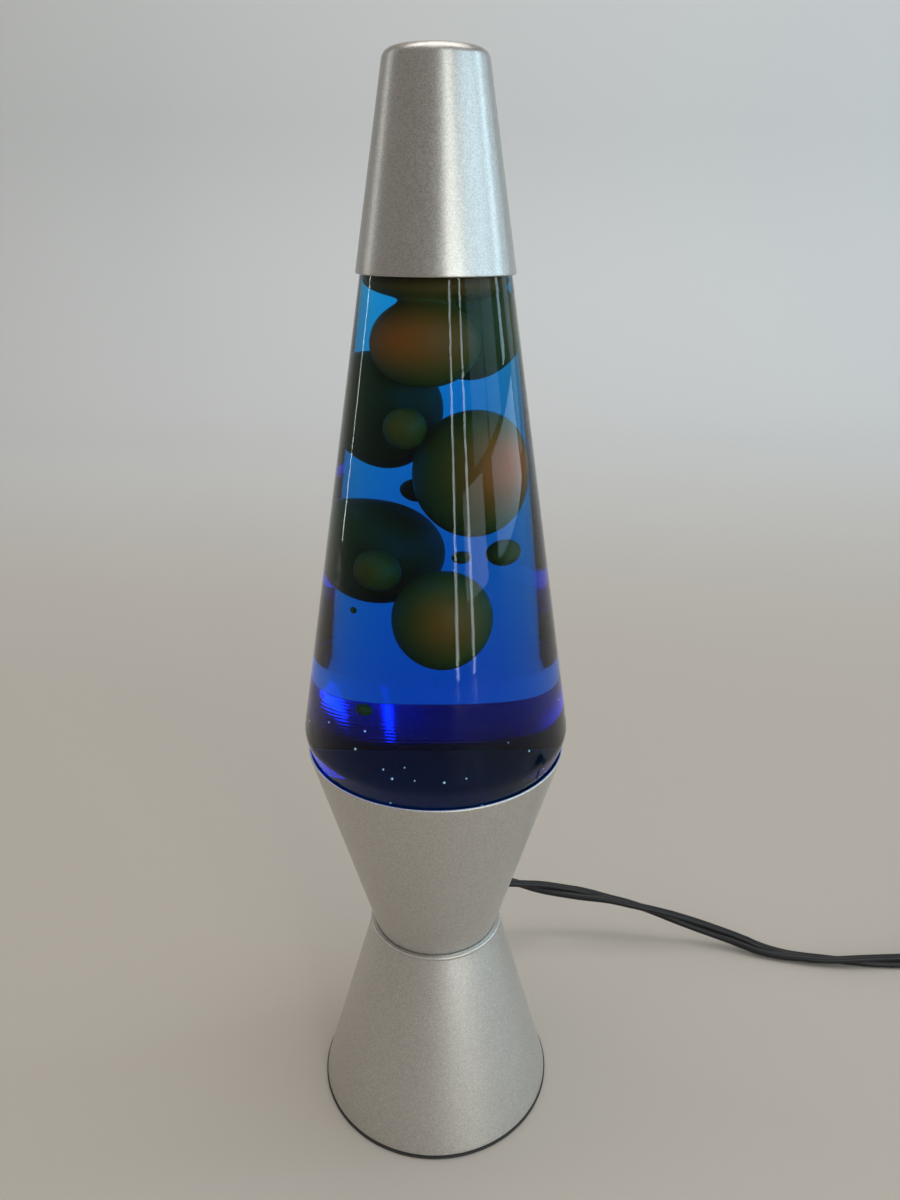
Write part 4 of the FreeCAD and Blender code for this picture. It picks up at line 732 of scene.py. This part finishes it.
# Thumbwheel: a disc moulded in the shells' plastic, with finger hollows round its edge.
# It turns on its own axle in the slot and works the contacts.
wheel_radius, hollows, hollow_depth, rim_points = 8.55, 18, 0.42, 216
rim = []
for i in range(rim_points):
    turn = 2 * math.pi * i / rim_points
    hollow = hollow_depth * max(0.0, math.cos(hollows * turn)) ** 3
    rim.append(Vector((math.cos(turn), math.sin(turn))) * (wheel_radius - hollow) * MM)
wheel_levels = [(5.05, 0.26), (5.25, 0.06), (5.5, 0), (10.5, 0), (10.75, 0.06), (10.95, 0.26)]
wheel_mesh = stacked("thumb_wheel", rim, wheel_levels)
wheel_mesh.transform(Matrix.Translation((wheel_x * MM, wheel_y * MM, 0)))
wheel = piece("thumb_wheel", wheel_mesh, shell_material, "switch_wheel", "switch_wheel", slot="black_moulding")

nodes = frame["nodes"]


# Plug: vinyl moulded round the blades and the cord's end, broad at the blades and drawn in to the cord.
# A ribbed relief takes the bend where the cord leaves it.
grip_round = 3.0
grip = rounded_loop([(308.5, -50.35, 3.6), (324.1, -50.35, 5), (334.4, -43.5, 3.6), (334.4, -34.3, 3.6),
                     (324.1, -27.45, 5), (308.5, -27.45, 3.6)])
relief_line = rounded([(0, 329.0), (5.9, 329.0)] + ribbed(6.2, 4.6, 333.5, 355.6, 6, 0.95)
                      + [(4.5, 355.7), (4.4, 356.4, 0.3), (0, 356.4)])
relief_mesh = turn_mesh("relief", relief_line, sides=small_sides)
relief_mesh.transform(Matrix.Translation((0, plug_y * MM, plug_z * MM)) @ Matrix.Rotation(math.radians(90), 4, "Y"))
lower_half, upper_half = (dome_levels(plug_z, end, grip_round)[2:] for end in (0.05, 13.95))
plug_body = stacked("plug_body", grip, lower_half[::-1] + upper_half)
bm = bmesh.new()
bm.from_mesh(plug_body)
bm.from_mesh(relief_mesh)
bm.to_mesh(plug_body)
bm.free()
plug_body.shade_smooth()
plug_body.set_sharp_from_angle(angle=math.radians(moulded_degrees))
plug = piece("moulded_plug", plug_body, vinyl_material, "base", "plug", slot="black_moulding")


# Inside pieces: lampholder, bulb, crown cap, cover, fasteners and wires, and the blades and pads outside.
# Most of them are hidden, so each keeps its CAD solid and gets a finish of the stuff it is made of.
def plain(name, color, metal, rough):
    """A plain finish with a fine grain in tone, gloss and height."""
    darkest, lightest = 0.85, 1.15
    paint = Paint(name)
    spot = paint.add("TexCoord", {}, out="Object")
    grain = paint.add("TexNoise", {}, spot, Scale=400.0, Detail=4.0)
    tone = paint.mix(grain, tuple(c * darkest for c in color), tuple(c * lightest for c in color))
    bump = paint.add("Bump", {}, Height=grain, Strength=0.08, Distance=0.0003)
    return paint.done(paint.add("BsdfPrincipled", {}, Base_Color=tone, Metallic=metal,
                                Roughness=(grain - 0.5) * 0.2 + rough, Normal=bump))


coil_paint = Paint("dark_wire")
coil_spot = coil_paint.add("TexCoord", {}, out="Object")
coil_grain = coil_paint.add("TexNoise", {}, coil_spot, Scale=300.0, Detail=4.0)
coil_material = coil_paint.done(coil_paint.add(
    "BsdfPrincipled", {}, Base_Color=coil_paint.mix(coil_grain, (0.030, 0.028, 0.028), (0.045, 0.042, 0.042)),
    Roughness=coil_grain * 0.1 + 0.85, Specular_IOR_Level=0.03))
finishes = {
    plain("cover_plastic", (0.015, 0.015, 0.016), 0.0, 0.5): ["base_cover"],
    plain("pad_rubber", (0.02, 0.02, 0.02), 0.0, 0.8): ["foot_pads"],
    plain("zinc_plate", (0.62, 0.62, 0.58), 1.0, 0.35): [
        "lampholder_pan", "waist_screws", "waist_nuts", "holder_screws", "switch_screw", "bulb_contact"],
    plain("brass", (0.80, 0.58, 0.25), 1.0, 0.3): [
        "holder_shell", "holder_contact", "holder_rivets", "bulb_shell", "switch_contacts",
        "plug_blade_narrow", "plug_blade_wide"],
    plain("phenolic", (0.03, 0.02, 0.015), 0.0, 0.4): ["holder_body", "bulb_insulator"],
    coil_material: ["heat_coil"],
    plain("tungsten", (0.12, 0.11, 0.11), 0.8, 0.5): ["lead_in_wires", "filament"],
    plain("tinplate", (0.7, 0.7, 0.72), 1.0, 0.3): ["crown_cap"],
    plain("soft_liner", (0.75, 0.75, 0.7), 0.0, 0.5): ["crown_liner"],
    plain("white_insulation", (0.75, 0.75, 0.72), 0.0, 0.5): ["lead_neutral"],
    plain("black_moulding", (0.02, 0.02, 0.022), 0.0, 0.42): ["lead_live"],
    glass_material: ["bulb_envelope", "bulb_stem"],
}
for material, names in finishes.items():
    for name in names:
        nodes[name].data.materials.clear()
        nodes[name].data.materials.append(material)
